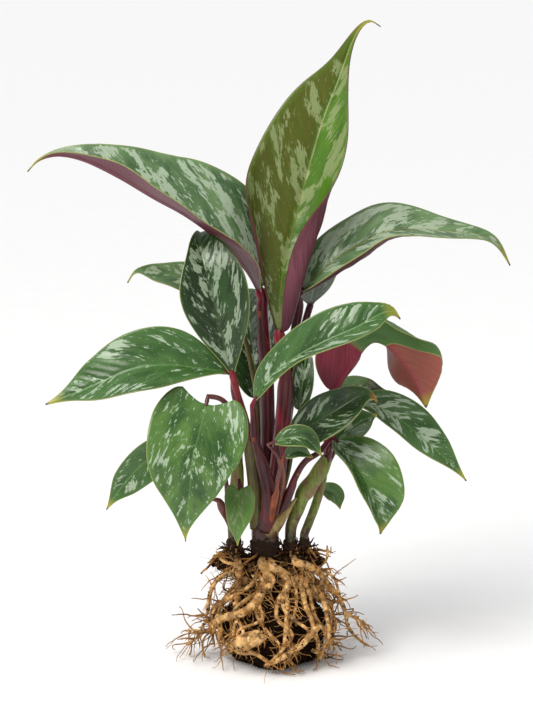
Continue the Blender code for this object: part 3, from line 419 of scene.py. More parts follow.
LOOKS = {
    "leaf_crown": Look("crown_green", "lime_green", "sage", 0.38, 1.5, 1.6, left="olive_green",
                       margin="red_margin", midrib="amber_rib", seed=3.1),
    "leaf_upper_left": Look("grey_green", "pale_green", "pale_silver", 0.33, 1.1, 1.2, seed=11.4),
    "leaf_upper_right": Look("grey_green", "pale_green", "silver", 0.38, 1.1, 1.8, under="plum",
                             midrib="amber_rib", seed=5.7),
    "leaf_back_right": Look("dark_green", "deep_green", "silver", 0.1, under="plum", seed=8.2),
    "leaf_small_back_left": Look("grey_green", "pale_green", "silver", 0.25, seed=2.6),
    "leaf_upright_left": Look("dark_green", "deep_green", "dim_silver", 0.27, 0.9, 1.2, left="dark_green",
                              midrib="dark_rib", seed=17.3),
    "leaf_left": Look("deep_green", "leaf_green", "pale_silver", 0.20, 0.7, 1.5, seed=23.8),
    "leaf_heart_front": Look("deep_green", "fresh_green", "pale_silver", 0.17, 0.6, 0.8, seed=31.5),
    "leaf_low_left": Look("deep_green", "leaf_green", "silver", 0.26, 0.8, seed=4.4),
    "leaf_small_heart": Look("crown_green", "fresh_green", "sage", 0.18, 0.5, seed=9.9),
    "leaf_right_front": Look("deep_green", "leaf_green", "pale_silver", 0.13, 0.6, 2.2, seed=13.2),
    "leaf_right_folded": Look("deep_green", "leaf_green", "silver", 0.1, under="wine", far_under="rose_brown",
                              fold="leaf_green", seed=6.3),
    "leaf_dark_right": Look("dark_green", "deep_green", "dim_silver", 0.22, 0.7, 2.4, tip="orange_tip",
                            midrib="dark_rib", seed=41.6),
    "leaf_small_front": Look("dark_green", "leaf_green", "silver", 0.26, 0.5, seed=27.7),
    "leaf_long_right": Look("deep_green", "leaf_green", "pale_silver", 0.26, 0.7, 2.4, seed=36.1),
    "leaf_drooping_right": Look("deep_green", "fresh_green", "pale_silver", 0.20, 0.6, 2.4, seed=19.4),
    "leaf_low_behind": Look("deep_green", "leaf_green", cover=0.1, seed=7.5),
    "leaf_small_right": Look("leaf_green", "fresh_green", cover=0.1, patch=0.5, seed=15.8),
    "leaf_grey_right": Look("grey_green", "pale_green", cover=0.15, seed=21.3),
    "leaf_inner_dark": Look("dark_green", "deep_green", cover=0.25, seed=33.9),
    "leaf_back_left": Look("dark_green", "deep_green", cover=0.2, under="plum", seed=12.1),
    "leaf_tiny_front": Look("deep_green", "leaf_green", cover=0.1, patch=0.5, under="plum", seed=44.2),
}

# The skin of each leaf stalk that isn't plain purple
STALK_SKINS = {
    "leaf_crown": "red stalk skin",
    "leaf_upright_left": "red stalk skin",
    "leaf_left": "brown stalk skin",
    "leaf_small_front": "brown stalk skin",
    "leaf_tiny_front": "brown stalk skin",
    "leaf_inner_dark": "olive stalk skin",
    "leaf_back_left": "olive stalk skin",
    "leaf_small_back_left": "olive stalk skin",
    "leaf_heart_front": "brown stalk skin",
    "leaf_low_left": "brown stalk skin",
    "leaf_long_right": "brown stalk skin",
}

# The skin of each stem of a shoot, in the order of its stems
STEM_SKINS = {
    "shoot_main": ("stalk skin", "bract skin"),
    "shoot_left": ("stem skin", "brown stalk skin"),
    "cane": ("stem skin",),
    "stem_right": ("stem skin",),
}

# The ground colour and the brighter colour of each skin but that of the green stems. The brighter colour goes
# on glints higher up, partly the skin's own colour and partly a painted highlight.
SKIN_COLOURS = {
    "stalk skin": ("purple", "crimson"),
    "red stalk skin": ("red", "crimson"),
    "brown stalk skin": ("brown", "purple"),
    "olive stalk skin": ("olive", "purple"),
    "flame sheath skin": ("rust", "flame"),
    "bract skin": ("bract", "cane_pink"),
}

# A sheath wraps its leaf's stalk between two shares of the way down. It stands this far off the stalk, faces
# this way, and wraps round by this angle to each side.
Sheath = namedtuple("Sheath", "leaf top bottom spare faces wrap skin")

SHEATHS = [
    Sheath("leaf_right_front", 0.27, 0.98, 1.0, (-0.35, -1, 0), 105, "stalk skin"),
    Sheath("leaf_crown", 0.12, 0.72, 1.2, (0.2, -1, 0), 115, "stalk skin"),
    Sheath("leaf_upper_left", 0.10, 0.75, 0.9, (-0.5, -1, 0), 100, "stalk skin"),
    Sheath("leaf_dark_right", 0.16, 0.95, 1.1, (-0.5, -1, 0), 100, "flame sheath skin"),
    Sheath("leaf_small_front", 0.45, 0.95, 1.2, (0.5, -1, 0), 110, "flame sheath skin"),
    Sheath("leaf_upright_left", 0.36, 0.98, 1.2, (-0.6, -1, 0), 110, "olive stalk skin"),
    Sheath("leaf_left", 0.40, 0.98, 2.2, (-0.8, -1, 0), 120, "olive stalk skin"),
    Sheath("leaf_drooping_right", 0.45, 0.98, 0.8, (0.3, -1, 0), 95, "stalk skin"),
]


def linear(hex_colour):
    """A colour written as sRGB hex, as the linear values that shading uses."""
    channels = [int(hex_colour[start:start + 2], 16) / 255 for start in (0, 2, 4)]
    return [value / 12.92 if value <= 0.04045 else ((value + 0.055) / 1.055) ** 2.4 for value in channels]


def colour(name, description, hex_colour):
    """A colour that the user can change."""
    return FloatVectorProperty(name=name, description=description, subtype="COLOR", size=4, min=0.0, max=1.0,
                               default=(*linear(hex_colour), 1.0))


def length(name, description, metres, least=0.0):
    """A length that the user can change."""
    return FloatProperty(name=name, description=description, default=metres, min=least, unit="LENGTH")


class LeafColours(bpy.types.PropertyGroup):
    # darker green for the leaves that lie in shade: painted shade
    dark_green: colour("Dark green", "Deepest green of the shaded leaves", "132607")
    deep_green: colour("Deep green", "Ground colour of most leaves", "2c4d20")
    leaf_green: colour("Leaf green", "Lighter parts of the dark leaves", "4d703b")
    fresh_green: colour("Fresh green", "Bright margins and young leaves", "61853f")
    crown_green: colour("Crown green", "Ground colour of the crown leaf's right half", "3a5f16")
    olive_green: colour("Olive green", "Ground colour of the crown leaf's left half", "4c4a0a")
    lime_green: colour("Lime green", "Bright parts of the crown leaf", "577e28")
    grey_green: colour("Grey green", "Ground colour of the arching leaves", "3f5b39")
    pale_green: colour("Pale green", "Lighter parts of the arching leaves", "718f5e")
    silver: colour("Silver", "Blotches on most leaves", "9cab92")
    # a darker copy of silver for the leaves in shade: painted shade
    dim_silver: colour("Dim silver", "Blotches on the shaded leaves", "84957c")
    # a lighter copy of silver for the brightest leaves: partly their blotches, partly painted sheen
    pale_silver: colour("Pale silver", "Blotches on the brightest leaves", "a4b59c")
    sage: colour("Sage", "Blotches on the crown leaf", "808d5e")
    mauve: colour("Mauve", "Underside of the arching leaves", "63323e")
    wine: colour("Wine red", "Underside of the folded leaf", "781f33")
    # lighter where the folded leaf's far half is lit: partly painted light
    rose_brown: colour("Rose brown", "Lit far half of the folded leaf's underside", "935446")
    # a darker underside for the leaves in shade: painted shade
    plum: colour("Plum", "Underside of the shaded leaves", "4d2a30")
    pale_rib: colour("Pale midrib", "Midrib of most leaves", "5c8442")
    dark_rib: colour("Dark midrib", "Midrib of the dark leaves", "33401c")
    amber_rib: colour("Amber midrib", "Midrib of the crown and upper right leaves", "85782a")
    pale_margin: colour("Pale margin", "Thin edge of most leaves", "8a9050")
    red_margin: colour("Red margin", "Thin edge of the crown leaf", "5d2c28")
    yellow_tip: colour("Yellow tip", "Tip of most leaves", "98922c")
    orange_tip: colour("Orange tip", "Hooked tip of the dark right leaf", "b0762c")
    dry_point: colour("Dry point", "Dried point at the end of each leaf", "4a2e1c")


class LeafSettings(bpy.types.PropertyGroup):
    thickness: length("Thickness", "Thickness of a blade away from its midrib", 0.0006, least=0.0003)
    rib_thickness: length("Midrib thickness", "Thickness where the stalk joins", 0.0024, least=0.0006)
    groove: length("Groove depth", "How deep the midrib lies in the upper side", 0.0008)
    vein_relief: length("Vein relief", "How far the blade swells between side veins", 0.0003)
    side_veins: IntProperty(name="Side veins", description="Side veins in each half of a blade",
                            default=15, min=3, max=30)
    margin_width: length("Margin width", "Width of the thin coloured edge", 0.0005)


class StemSettings(bpy.types.PropertyGroup):
    sides: IntProperty(name="Sides", description="Sides of a stalk's section", default=14, min=6, max=32)
    purple: colour("Purple", "Ground colour of the leaf stalks", "461a1e")
    # crimson is partly a painted highlight on the stalks
    crimson: colour("Crimson", "Lit and young parts of the stalks", "8c1230")
    red: colour("Red", "Ground colour of the red stalks", "6e2024")
    brown: colour("Brown", "Ground colour of the brown stalks", "5e3430")
    olive: colour("Olive", "Ground colour of the olive stalks", "5a5424")
    flame: colour("Flame orange", "Thin edges of the sheaths", "c26a30")
    rust: colour("Rust", "Ground colour of the sheaths with flame-coloured edges", "7c3a1e")
    bract: colour("Bract tan", "Ground colour of the bract", "94804a")
    cane_green: colour("Cane green", "Ground colour of the green stems", "717e36")
    cane_pink: colour("Cane pink", "Patches on the green stems", "8a4c50")
    bark: colour("Bark", "Rough base of the stems", "2c1c12")


class RootSettings(bpy.types.PropertyGroup):
    sides: IntProperty(name="Sides", description="Sides of a root's section", default=12, min=6, max=24)
    wrinkle: length("Wrinkles", "Depth of the wrinkles round a root", 0.0005)
    tan: colour("Tan", "Ground colour of the roots", "cb944e")
    # pale tan is partly the younger skin and partly a painted highlight on the roots
    pale: colour("Pale tan", "Younger parts of the roots", "f2cd92")
    brown: colour("Brown", "Bands and scars on the roots", "6b3a18")
    corm: colour("Rhizome brown", "Ground colour of the rhizome", "3a2416")
    rootlets: IntProperty(name="Rootlets", description="Thin roots that branch from the others",
                          default=380, min=0, max=900)
    hair_density: IntProperty(name="Hair density", description="Hair roots on each square metre",
                              default=30000)
    hair_length: length("Hair length", "Length of the longest hair roots", 0.011)


class SoilSettings(bpy.types.PropertyGroup):
    dark: colour("Dark peat", "Ground colour of the soil", "170e09")
    light: colour("Dry peat", "Drier crumbs and fibres", "5a4029")
    crumb_density: IntProperty(name="Crumb density", description="Crumbs on each square metre", default=90000)
    clinging_density: IntProperty(name="Clinging density", description="Crumbs on each square metre of root",
                                  default=12000)
    crumb_size: length("Crumb size", "Radius of a large crumb on the soil", 0.0013)


class StageSettings(bpy.types.PropertyGroup):
    floor_size: length("Floor size", "Width of the floor", 60.0)
    distance: length("Camera distance", "From the camera to the point that it looks at", 1.6)
    elevation: FloatProperty(name="Camera elevation", description="How far the camera looks down",
                             default=math.radians(10.0), subtype="ANGLE")
    view_height: length("View height", "Height that the photo spans at the plant", 0.4977)
    room_light: FloatProperty(name="Room light", description="Brightness of the white room", default=0.54)
    window_light: FloatProperty(
        name="Window light", description="Strength of the broad light from above left", default=1.9)
    lamp_light: FloatProperty(
        name="Lamp light", description="Power in watts of the soft lamp at the upper left", default=12.0)
    pale: colour("Floor", "Pale floor", "f7f7f7")


def smooth_value(values, share):
    """A value on a smooth curve through evenly spaced values, at a share of the way along."""
    if len(values) == 1:
        return values[0]
    last = len(values) - 1
    place = min(max(share, 0.0), 1.0) * last
    index = min(int(place), last - 1)
    t = place - index
    before = values[max(index - 1, 0)]
    start = values[index]
    end = values[index + 1]
    after = values[min(index + 2, last)]
    return (start + (end - before) * (0.5 * t)
            + (before * 2 - start * 5 + end * 4 - after) * (0.5 * t * t)
            + (start * 3 - before - end * 3 + after) * (0.5 * t * t * t))


def even_shares(count):
    """Shares of a length, from none to all of it, in even steps."""
    return [step / count for step in range(count + 1)]


def smooth_path(points, shares):
    """Places on a smooth curve through the points, at these shares of its length."""
    points = [Vector(point) for point in points]
    fine = 12 * (len(points) - 1)
    dense = [smooth_value(points, step / fine) for step in range(fine + 1)]
    lengths = [0.0]
    for start, end in zip(dense, dense[1:]):
        lengths.append(lengths[-1] + (end - start).length)
    path = []
    index = 0
    for share in shares:
        target = lengths[-1] * share
        while index < fine - 1 and lengths[index + 1] < target:
            index += 1
        span = lengths[index + 1] - lengths[index]
        path.append(dense[index].lerp(dense[index + 1], (target - lengths[index]) / span))
    return path


def smooth_step(low, high, value):
    """A smooth rise from 0 to 1 as the value goes from low to high."""
    t = min(max((value - low) / (high - low), 0.0), 1.0)
    return t * t * (3 - 2 * t)


def half_width_at(outline, share):
    """How wide one half of a blade is, as a share of its widest, at a share of the way to the tip."""
    if share < outline.widest:
        rise = math.sin(0.5 * math.pi * share / outline.widest) ** outline.base
        return outline.foot + (1 - outline.foot) * rise
    fall = (share - outline.widest) / (1 - outline.widest)
    near_tip = max(2 * fall - 1, 0.0)
    drawn_out = 1 - outline.point * near_tip ** 2 * (3 - 2 * near_tip)
    return max(math.cos(0.5 * math.pi * fall), 0.0) ** outline.taper * drawn_out


class Blade:
    """The surface of one leaf blade, as places that depend on how far along and across they are."""

    SAMPLES = 60

    def __init__(self, spec):
        self.spec = spec
        self.midrib = smooth_path(spec.midrib, even_shares(self.SAMPLES))
        self.length = sum((end - start).length for start, end in zip(self.midrib, self.midrib[1:]))
        self.left = [Vector(way).normalized() for way in spec.left]
        self.right = [Vector(way).normalized() for way in spec.right]

    def midrib_at(self, share):
        """A place on the midrib and the way the midrib runs there."""
        place = share * self.SAMPLES
        index = min(int(place), self.SAMPLES - 1)
        along = (self.midrib[min(index + 2, self.SAMPLES)] - self.midrib[max(index - 1, 0)]).normalized()
        return self.midrib[index].lerp(self.midrib[index + 1], place - index), along

    def width_at(self, share, is_right):
        """The width of one half of the blade in millimetres."""
        spec = self.spec
        size = smooth_value(spec.right_size if is_right else spec.left_size, share)
        thin = TIP_HALF_WIDTH * (1.6 - share)
        return math.hypot(spec.half_width * size * half_width_at(spec.outline, share), thin)

    def vein_place(self, across, share):
        """Where a place lies: which side vein it is on, how far out, and how far along, in millimetres."""
        out = abs(across) * self.width_at(share, across > 0)
        lean = out * (VEIN_LEAN + VEIN_CURVE * out / self.spec.half_width)
        return Vector((share * self.length - lean, math.copysign(out, across), share * self.length))

    def place(self, across, share, relief):
        """A place on the blade, raised by its relief. Across runs from -1 at the left margin to 1."""
        spec = self.spec
        middle, along = self.midrib_at(share)
        is_right = across > 0
        reach = abs(across)
        way = smooth_value(self.right if is_right else self.left, share)
        way = (way - along * way.dot(along)).normalized()
        upper = way.cross(along) if is_right else along.cross(way)
        width = self.width_at(share, is_right)
        curl = math.radians(smooth_value(spec.right_curl if is_right else spec.left_curl, share))
        start, end = spec.right_bend if is_right else spec.left_bend
        turn = curl * min(max((reach - start) / (end - start), 0.0), 1.0)
        flat = min(reach, start)
        rest = max(reach - end, 0.0)
        if abs(curl) < 0.001:
            place = middle + way * (width * reach)
        else:
            bend = (end - start) / curl
            out = flat + bend * math.sin(turn) + rest * math.cos(turn)
            lift = bend * (1 - math.cos(turn)) + rest * math.sin(turn)
            place = middle + (way * out + upper * lift) * width
        back = max(reach - 0.2, 0.0) ** 1.3 * (1 - share) ** 5
        place -= along * (spec.outline.lobe * spec.half_width * back)
        ripple = math.sin(2 * math.pi * (RIPPLES * share + (0.3 if is_right else 0.0)))
        place += upper * (spec.wave * reach ** 2 * ripple * min(4 * (1 - share), 1.0))
        return place + (upper * math.cos(turn) - way * math.sin(turn)) * relief


def add_node(tree, kind, inputs=None, **settings):
    """The outputs of a new node with these settings. Each input, by name or number, gets a value, or the
    socket that is linked to it."""
    node = tree.nodes.new(kind)
    for name, value in settings.items():
        setattr(node, name, value)
    for key, value in (inputs or {}).items():
        if isinstance(value, bpy.types.NodeSocket):
            tree.links.new(value, node.inputs[key])
        else:
            node.inputs[key].default_value = value
    return node.outputs


def new_material(name, **values):
    """A material with a Principled shader, whose sockets are named in words_like_this."""
    material = bpy.data.materials.new(name)
    material.use_nodes = True
    shader = material.node_tree.nodes["Principled BSDF"]
    for socket, value in values.items():
        words = " ".join(word if word == "IOR" else word.capitalize() for word in socket.split("_"))
        shader.inputs[words].default_value = value
    return material, material.node_tree, shader


def shaded(shade, size, lift=0.0):
    """A colour made darker or lighter by this size, and then paler by the lift."""
    return (*[min(value * size + lift, 1.0) for value in shade[:3]], 1.0)


def patches(tree, place, size, detail=3.0, offset=0.0, roughness=0.5):
    """A pattern of soft patches. Size is theirs along X, Y and Z, in millimetres."""
    scale = [1 / (length * MM) for length in size]
    mapped = add_node(tree, "ShaderNodeMapping", {"Vector": place, "Scale": scale,
                                                  "Location": (offset, 1.7 * offset, 0.6 * offset)})
    return add_node(tree, "ShaderNodeTexNoise", {"Vector": mapped[0], "Scale": 1.0, "Detail": detail,
                                                 "Roughness": roughness})[0]


def painted(tree, ground, *coats):
    """The ground colour with coats laid over it, the last on top. A coat is a pattern, the two of its values
    between which the coat goes from nothing to its full strength, that strength, and its colour."""
    for pattern, nothing, full, strength, shade in coats:
        share = add_node(tree, "ShaderNodeMapRange", {0: pattern, 1: nothing, 2: full, 4: strength})[0]
        ground = add_node(tree, "ShaderNodeMix", {0: share, 6: ground, 7: shade}, data_type="RGBA")[2]
    return ground


def finish_skin(tree, shader, shade, relief, depth):
    """Gives a shader its colour and its small relief. The depth is in millimetres."""
    tree.links.new(shade, shader.inputs["Base Color"])
    bump = add_node(tree, "ShaderNodeBump", {"Height": relief, "Strength": 0.6, "Distance": depth * MM})
    tree.links.new(bump[0], shader.inputs["Normal"])


def blade_patterns(tree, spacing):
    """What every side of a blade is painted by: where on it a place lies, how far out from the midrib, how
    far in from the margin, how far along, and the side veins. The spacing of those is in millimetres."""
    place = add_node(tree, "ShaderNodeAttribute", attribute_name="vein_place")["Vector"]
    edge = add_node(tree, "ShaderNodeAttribute", attribute_name="edge")["Fac"]
    share = add_node(tree, "ShaderNodeAttribute", attribute_name="share")["Fac"]
    parts = add_node(tree, "ShaderNodeSeparateXYZ", {0: place})
    out = add_node(tree, "ShaderNodeMath", {0: parts[1]}, operation="ABSOLUTE")[0]
    vein = add_node(tree, "ShaderNodeMath", {0: parts[0], 1: spacing * MM / 2}, operation="PINGPONG")
    return place, parts[1], out, edge, share, vein[0]


def coloured(look_of, colours):
    """The look with its colours in place of their names."""
    named = {part: name for part, name in look_of._asdict().items() if isinstance(name, str)}
    return look_of._replace(**{part: tuple(getattr(colours, name)) for part, name in named.items()})


def leaf_upper(name, look_of, spacing, settings):
    """The upper side of a blade: a smooth waxy skin, so a soft shine over green. The silver is where air
    lies under the skin, so it ends in frayed edges that run with the side veins."""
    material, tree, shader = new_material(name, Roughness=0.26, IOR=1.45, Specular_IOR_Level=0.45)
    place, side, out, edge, share, vein = blade_patterns(tree, spacing)
    dark, bright, blotch = look_of[:3]
    seed = look_of.seed
    size = look_of.patch
    crowd = patches(tree, place, (30, 20, 40), detail=1.0, offset=seed)
    drawn = look_of.streak
    torn = patches(tree, place, (10 * size, 7 * size * drawn, 60), detail=4.0, offset=seed + 7,
                   roughness=0.55)
    fray = patches(tree, place, (3.2, 2.2 * drawn, 60), detail=3.0, offset=seed + 3, roughness=0.55)
    hole = patches(tree, place, (3.0, 2.2, 60), detail=1.0, offset=seed + 13)
    fleck = patches(tree, place, (2.2, 1.5, 60), detail=1.0, offset=seed + 23)
    broad = patches(tree, place, (24, 16, 30), detail=2.0, offset=seed + 31)
    mottle = patches(tree, place, (4, 9, 60), detail=3.0, offset=seed + 19)
    grain = patches(tree, place, (0.5, 0.7, 60), detail=2.0)
    # silver gathers where all its patterns are high, and stays off the margin
    silver = add_node(tree, "ShaderNodeMath", {0: crowd, 1: 0.55, 2: torn}, operation="MULTIPLY_ADD")[0]
    silver = add_node(tree, "ShaderNodeMath", {0: fray, 1: 0.5, 2: silver}, operation="MULTIPLY_ADD")[0]
    rim = add_node(tree, "ShaderNodeMapRange", {0: edge, 1: 2.5 * MM, 2: 0.5 * MM, 4: -0.3})[0]
    silver = add_node(tree, "ShaderNodeMath", {0: silver, 1: rim}, operation="ADD")[0]
    pit = add_node(tree, "ShaderNodeMapRange", {0: hole, 1: 0.64, 2: 0.70, 4: -0.2})[0]
    silver = add_node(tree, "ShaderNodeMath", {0: silver, 1: pit}, operation="ADD")[0]
    # the more of the blade it covers, the lower the value that it starts from
    start = 1.20 - 0.40 * look_of.cover
    ground = painted(tree, dark, (broad, 0.38, 0.64, 0.65, bright))
    if look_of.left:
        ground = painted(tree, ground, (side, 1 * MM, -4 * MM, 0.85, look_of.left))
    shade = painted(
        tree, ground,
        (mottle, 0.45, 0.68, 0.3, dark),
        (edge, 6 * MM, 0.5 * MM, 0.4, bright),
        (vein, 0.45 * MM, 0.0, 0.22, look_of.midrib),
        (silver, start - 0.05, start, 0.22, blotch),
        (silver, start, start + 0.022, 0.8, blotch),
        (mottle, 0.56, 0.66, 0.12, bright),
        (fleck, 0.70, 0.73, 0.6, blotch),
        (out, 0.8 * MM, 0.25 * MM, 0.5, look_of.midrib),
        (edge, settings.margin_width, 0.3 * settings.margin_width, 1.0, look_of.margin),
        (share, 0.88, 0.97, 0.9, look_of.tip),
        (share, 0.975, 0.995, 1.0, look_of.point))
    relief = add_node(tree, "ShaderNodeMath", {0: torn, 1: 0.8, 2: grain}, operation="MULTIPLY_ADD")[0]
    finish_skin(tree, shader, shade, relief, 0.12)
    return material


def leaf_underside(name, look_of, spacing, settings):
    """The underside of a blade: a duller skin than the upper one, red with fine streaks and veins."""
    material, tree, shader = new_material(name, Roughness=0.5, IOR=1.45, Specular_IOR_Level=0.3)
    place, side, out, edge, share, vein = blade_patterns(tree, spacing)
    under = look_of.under
    far = look_of.far_under or under
    streak = patches(tree, place, (1.4, 14, 60), detail=3.0, offset=look_of.seed)
    broad = patches(tree, place, (22, 14, 30), detail=2.0, offset=look_of.seed + 5)
    shade = painted(
        tree, shaded(under, 0.75),
        (streak, 0.38, 0.66, 0.9, shaded(under, 1.45, 0.01)),
        (broad, 0.42, 0.66, 0.5, shaded(under, 0.8)),
        # the underside's far half in its own colour, which on the folded leaf is lighter where lit: partly
        # painted light
        (share, 0.42, 0.56, 0.9, far),
        (streak, 0.50, 0.70, 0.3, shaded(far, 0.6)),
        (vein, 0.5 * MM, 0.0, 0.35, shaded(under, 0.6)),
        (out, 1.8 * MM, 0.9 * MM, 0.45, shaded(under, 1.5, 0.01)),
        (share, 0.16, 0.02, 0.6, shaded(under, 0.4)),
        (edge, 1.5 * settings.margin_width, 0.4 * settings.margin_width, 1.0, look_of.margin),
        (share, 0.90, 0.97, 0.8, look_of.tip),
        (share, 0.975, 0.995, 1.0, look_of.point))
    if look_of.fold:
        # green along the top of the arch, down to a line that leaves the midrib halfway
        line = add_node(tree, "ShaderNodeMath", {0: share, 1: -95 * MM, 2: 49 * MM}, operation="MULTIPLY_ADD")
        beyond = add_node(tree, "ShaderNodeMath", {0: out, 1: line[0]}, operation="ADD")[0]
        begun = add_node(tree, "ShaderNodeMapRange", {0: share, 1: 0.30, 2: 0.34, 4: 1.0})[0]
        arch = add_node(tree, "ShaderNodeMapRange", {0: side, 1: 0.0, 2: 0.3 * MM, 4: begun})[0]
        shade = painted(
            tree, shade,
            (beyond, -0.6 * MM, -0.3 * MM, arch, look_of.margin),
            (beyond, 0.2 * MM, 0.5 * MM, arch, look_of.fold))
    finish_skin(tree, shader, shade, streak, 0.2)
    return material


def leaf_margin(name, look_of):
    """The edge round a blade, thin and a little translucent, so paler than the skin beside it."""
    material, tree, shader = new_material(name, Roughness=0.45, IOR=1.45)
    place = add_node(tree, "ShaderNodeAttribute", attribute_name="vein_place")["Vector"]
    share = add_node(tree, "ShaderNodeAttribute", attribute_name="share")["Fac"]
    spot = patches(tree, place, (3, 3, 60), offset=look_of.seed)
    rim = look_of.margin
    shade = painted(tree, rim, (spot, 0.35, 0.65, 0.7, shaded(rim, 0.6)),
                    (share, 0.88, 0.97, 0.9, look_of.tip),
                    (share, 0.975, 0.995, 1.0, look_of.point))
    finish_skin(tree, shader, shade, spot, 0.05)
    return material


def stalk_skin(name, ground, glow, settings):
    """The skin of a leaf stalk: smooth, juicy and shiny, with brighter streaks along it, brighter glints
    higher up that are partly the young skin's own colour and partly a painted highlight, and a rough foot.
    """
    material, tree, shader = new_material(name, Roughness=0.3, IOR=1.45, Specular_IOR_Level=0.4)
    place = add_node(tree, "ShaderNodeTexCoord")["Object"]
    rim = add_node(tree, "ShaderNodeAttribute", attribute_name="rim")["Fac"]
    streak = patches(tree, place, (1.6, 1.6, 40), detail=3.0, offset=2.0)
    patch = patches(tree, place, (12, 12, 26), detail=2.0, offset=5.0)
    glint = patches(tree, place, (7, 7, 45), detail=2.0, offset=8.0)
    scar = patches(tree, place, (4, 4, 5), detail=4.0, offset=9.0)
    height = add_node(tree, "ShaderNodeSeparateXYZ", {0: place})[2]
    high = add_node(tree, "ShaderNodeMapRange", {0: height, 1: 0.11, 2: 0.24, 3: 0.25, 4: 1.0})[0]
    low = add_node(tree, "ShaderNodeMath", {0: scar, 1: -0.03, 2: height}, operation="MULTIPLY_ADD")[0]
    shade = painted(
        tree, ground,
        (streak, 0.42, 0.66, 0.5, shaded(ground, 1.9, 0.006)),
        # glints that grow stronger higher up: partly the young skin's own colour, partly a painted highlight
        (glint, 0.5, 0.64, high, glow),
        (patch, 0.45, 0.64, 0.55, shaded(ground, 0.4)),
        (rim, 0.2, 1.0, 0.9, settings.flame),
        (low, 0.090, 0.076, 0.95, shaded(settings.bark, 1.8)))
    finish_skin(tree, shader, shade, streak, 0.25)
    return material


def stem_skin(settings):
    """The skin of a green stem: smooth with a soft shine, green with pink patches and a rough brown base."""
    material, tree, shader = new_material("stem skin", Roughness=0.4, IOR=1.45, Specular_IOR_Level=0.4)
    place = add_node(tree, "ShaderNodeTexCoord")["Object"]
    streak = patches(tree, place, (1.4, 1.4, 26), detail=3.0, offset=12.0)
    patch = patches(tree, place, (8, 8, 20), detail=3.0, offset=4.0)
    spot = patches(tree, place, (2, 2, 5), detail=3.0, offset=15.0)
    scar = patches(tree, place, (3, 3, 4), detail=4.0, offset=9.0)
    height = add_node(tree, "ShaderNodeSeparateXYZ", {0: place})[2]
    low = add_node(tree, "ShaderNodeMath", {0: scar, 1: -0.05, 2: height}, operation="MULTIPLY_ADD")[0]
    green = settings.cane_green
    shade = painted(
        tree, green,
        (streak, 0.4, 0.66, 0.6, shaded(green, 1.6, 0.01)),
        (streak, 0.56, 0.40, 0.4, shaded(green, 0.55)),
        (patch, 0.53, 0.63, 0.6, settings.cane_pink),
        (spot, 0.62, 0.70, 0.5, shaded(settings.cane_pink, 0.5)),
        (low, 0.086, 0.062, 1.0, settings.bark))
    relief = add_node(tree, "ShaderNodeMath", {0: streak, 1: scar}, operation="ADD")[0]
    finish_skin(tree, shader, shade, relief, 0.35)
    return material


def root_skin(name, ground, pale, settings):
    """The skin of a root: dry and matt like thin bark, with pale mottles, brown bands across it and a dark
    point. The pale mottles are partly younger skin and partly a painted highlight, and the broad darker
    patches and dark spots are partly real dirt and partly painted shade between the roots."""
    material, tree, shader = new_material(name, Roughness=0.72, IOR=1.45, Specular_IOR_Level=0.3)
    place = add_node(tree, "ShaderNodeTexCoord")["Object"]
    along = add_node(tree, "ShaderNodeAttribute", attribute_name="along")["Fac"]
    to_tip = add_node(tree, "ShaderNodeAttribute", attribute_name="to_tip")["Fac"]
    mottle = patches(tree, place, (2.4, 2.4, 2.4), detail=4.0, offset=1.0, roughness=0.6)
    broad = patches(tree, place, (11, 11, 9), detail=2.0, offset=4.0)
    dirt_and_shade = patches(tree, place, (6, 6, 5), detail=5.0, offset=6.0, roughness=0.65)
    along_place = add_node(tree, "ShaderNodeCombineXYZ", {0: along})[0]
    ring = patches(tree, along_place, (4.0, 1, 1), detail=2.0, offset=3.0)
    band = add_node(tree, "ShaderNodeMath", {0: mottle, 1: 0.3, 2: ring}, operation="MULTIPLY_ADD")[0]
    shade = painted(
        tree, ground,
        # pale mottles: partly younger skin, partly a painted highlight
        (mottle, 0.40, 0.60, 0.9, pale),
        # broad patches in a darker copy of the ground: partly painted shade between the roots
        (broad, 0.46, 0.62, 0.6, shaded(ground, 0.5)),
        (band, 0.62, 0.78, 0.7, settings.brown),
        # dark spots: partly real dirt, partly painted shade between the roots
        (dirt_and_shade, 0.50, 0.64, 0.85, shaded(settings.brown, 0.35)),
        (to_tip, 0.95, 0.985, 0.85, shaded(settings.brown, 0.5)))
    relief = add_node(tree, "ShaderNodeMath", {0: mottle, 1: ring}, operation="ADD")[0]
    finish_skin(tree, shader, shade, relief, 0.4)
    return material


def cork_skin(name, ground, scars, bare_shade):
    """Cork, as on the rhizome and the stems' feet: old, so matt and rough, dark brown with paler scars, and
    as pale as a root where it is bare."""
    material, tree, shader = new_material(name, Roughness=0.85, IOR=1.4, Specular_IOR_Level=0.3)
    place = add_node(tree, "ShaderNodeTexCoord")["Object"]
    cork = patches(tree, place, (2.0, 2.0, 1.6), detail=5.0, offset=3.0, roughness=0.65)
    scar = patches(tree, place, (5, 5, 3), detail=3.0, offset=7.0)
    bare = add_node(tree, "ShaderNodeAttribute", attribute_name="bare")["Fac"]
    shade = painted(
        tree, ground,
        (bare, 0.0, 1.0, 0.16, bare_shade),
        (cork, 0.45, 0.62, 0.8, shaded(ground, 0.35)),
        (scar, 0.52, 0.66, 0.6, scars),
        (cork, 0.60, 0.72, 0.4, shaded(bare_shade, 0.8)))
    finish_skin(tree, shader, shade, cork, 1.2)
    return material


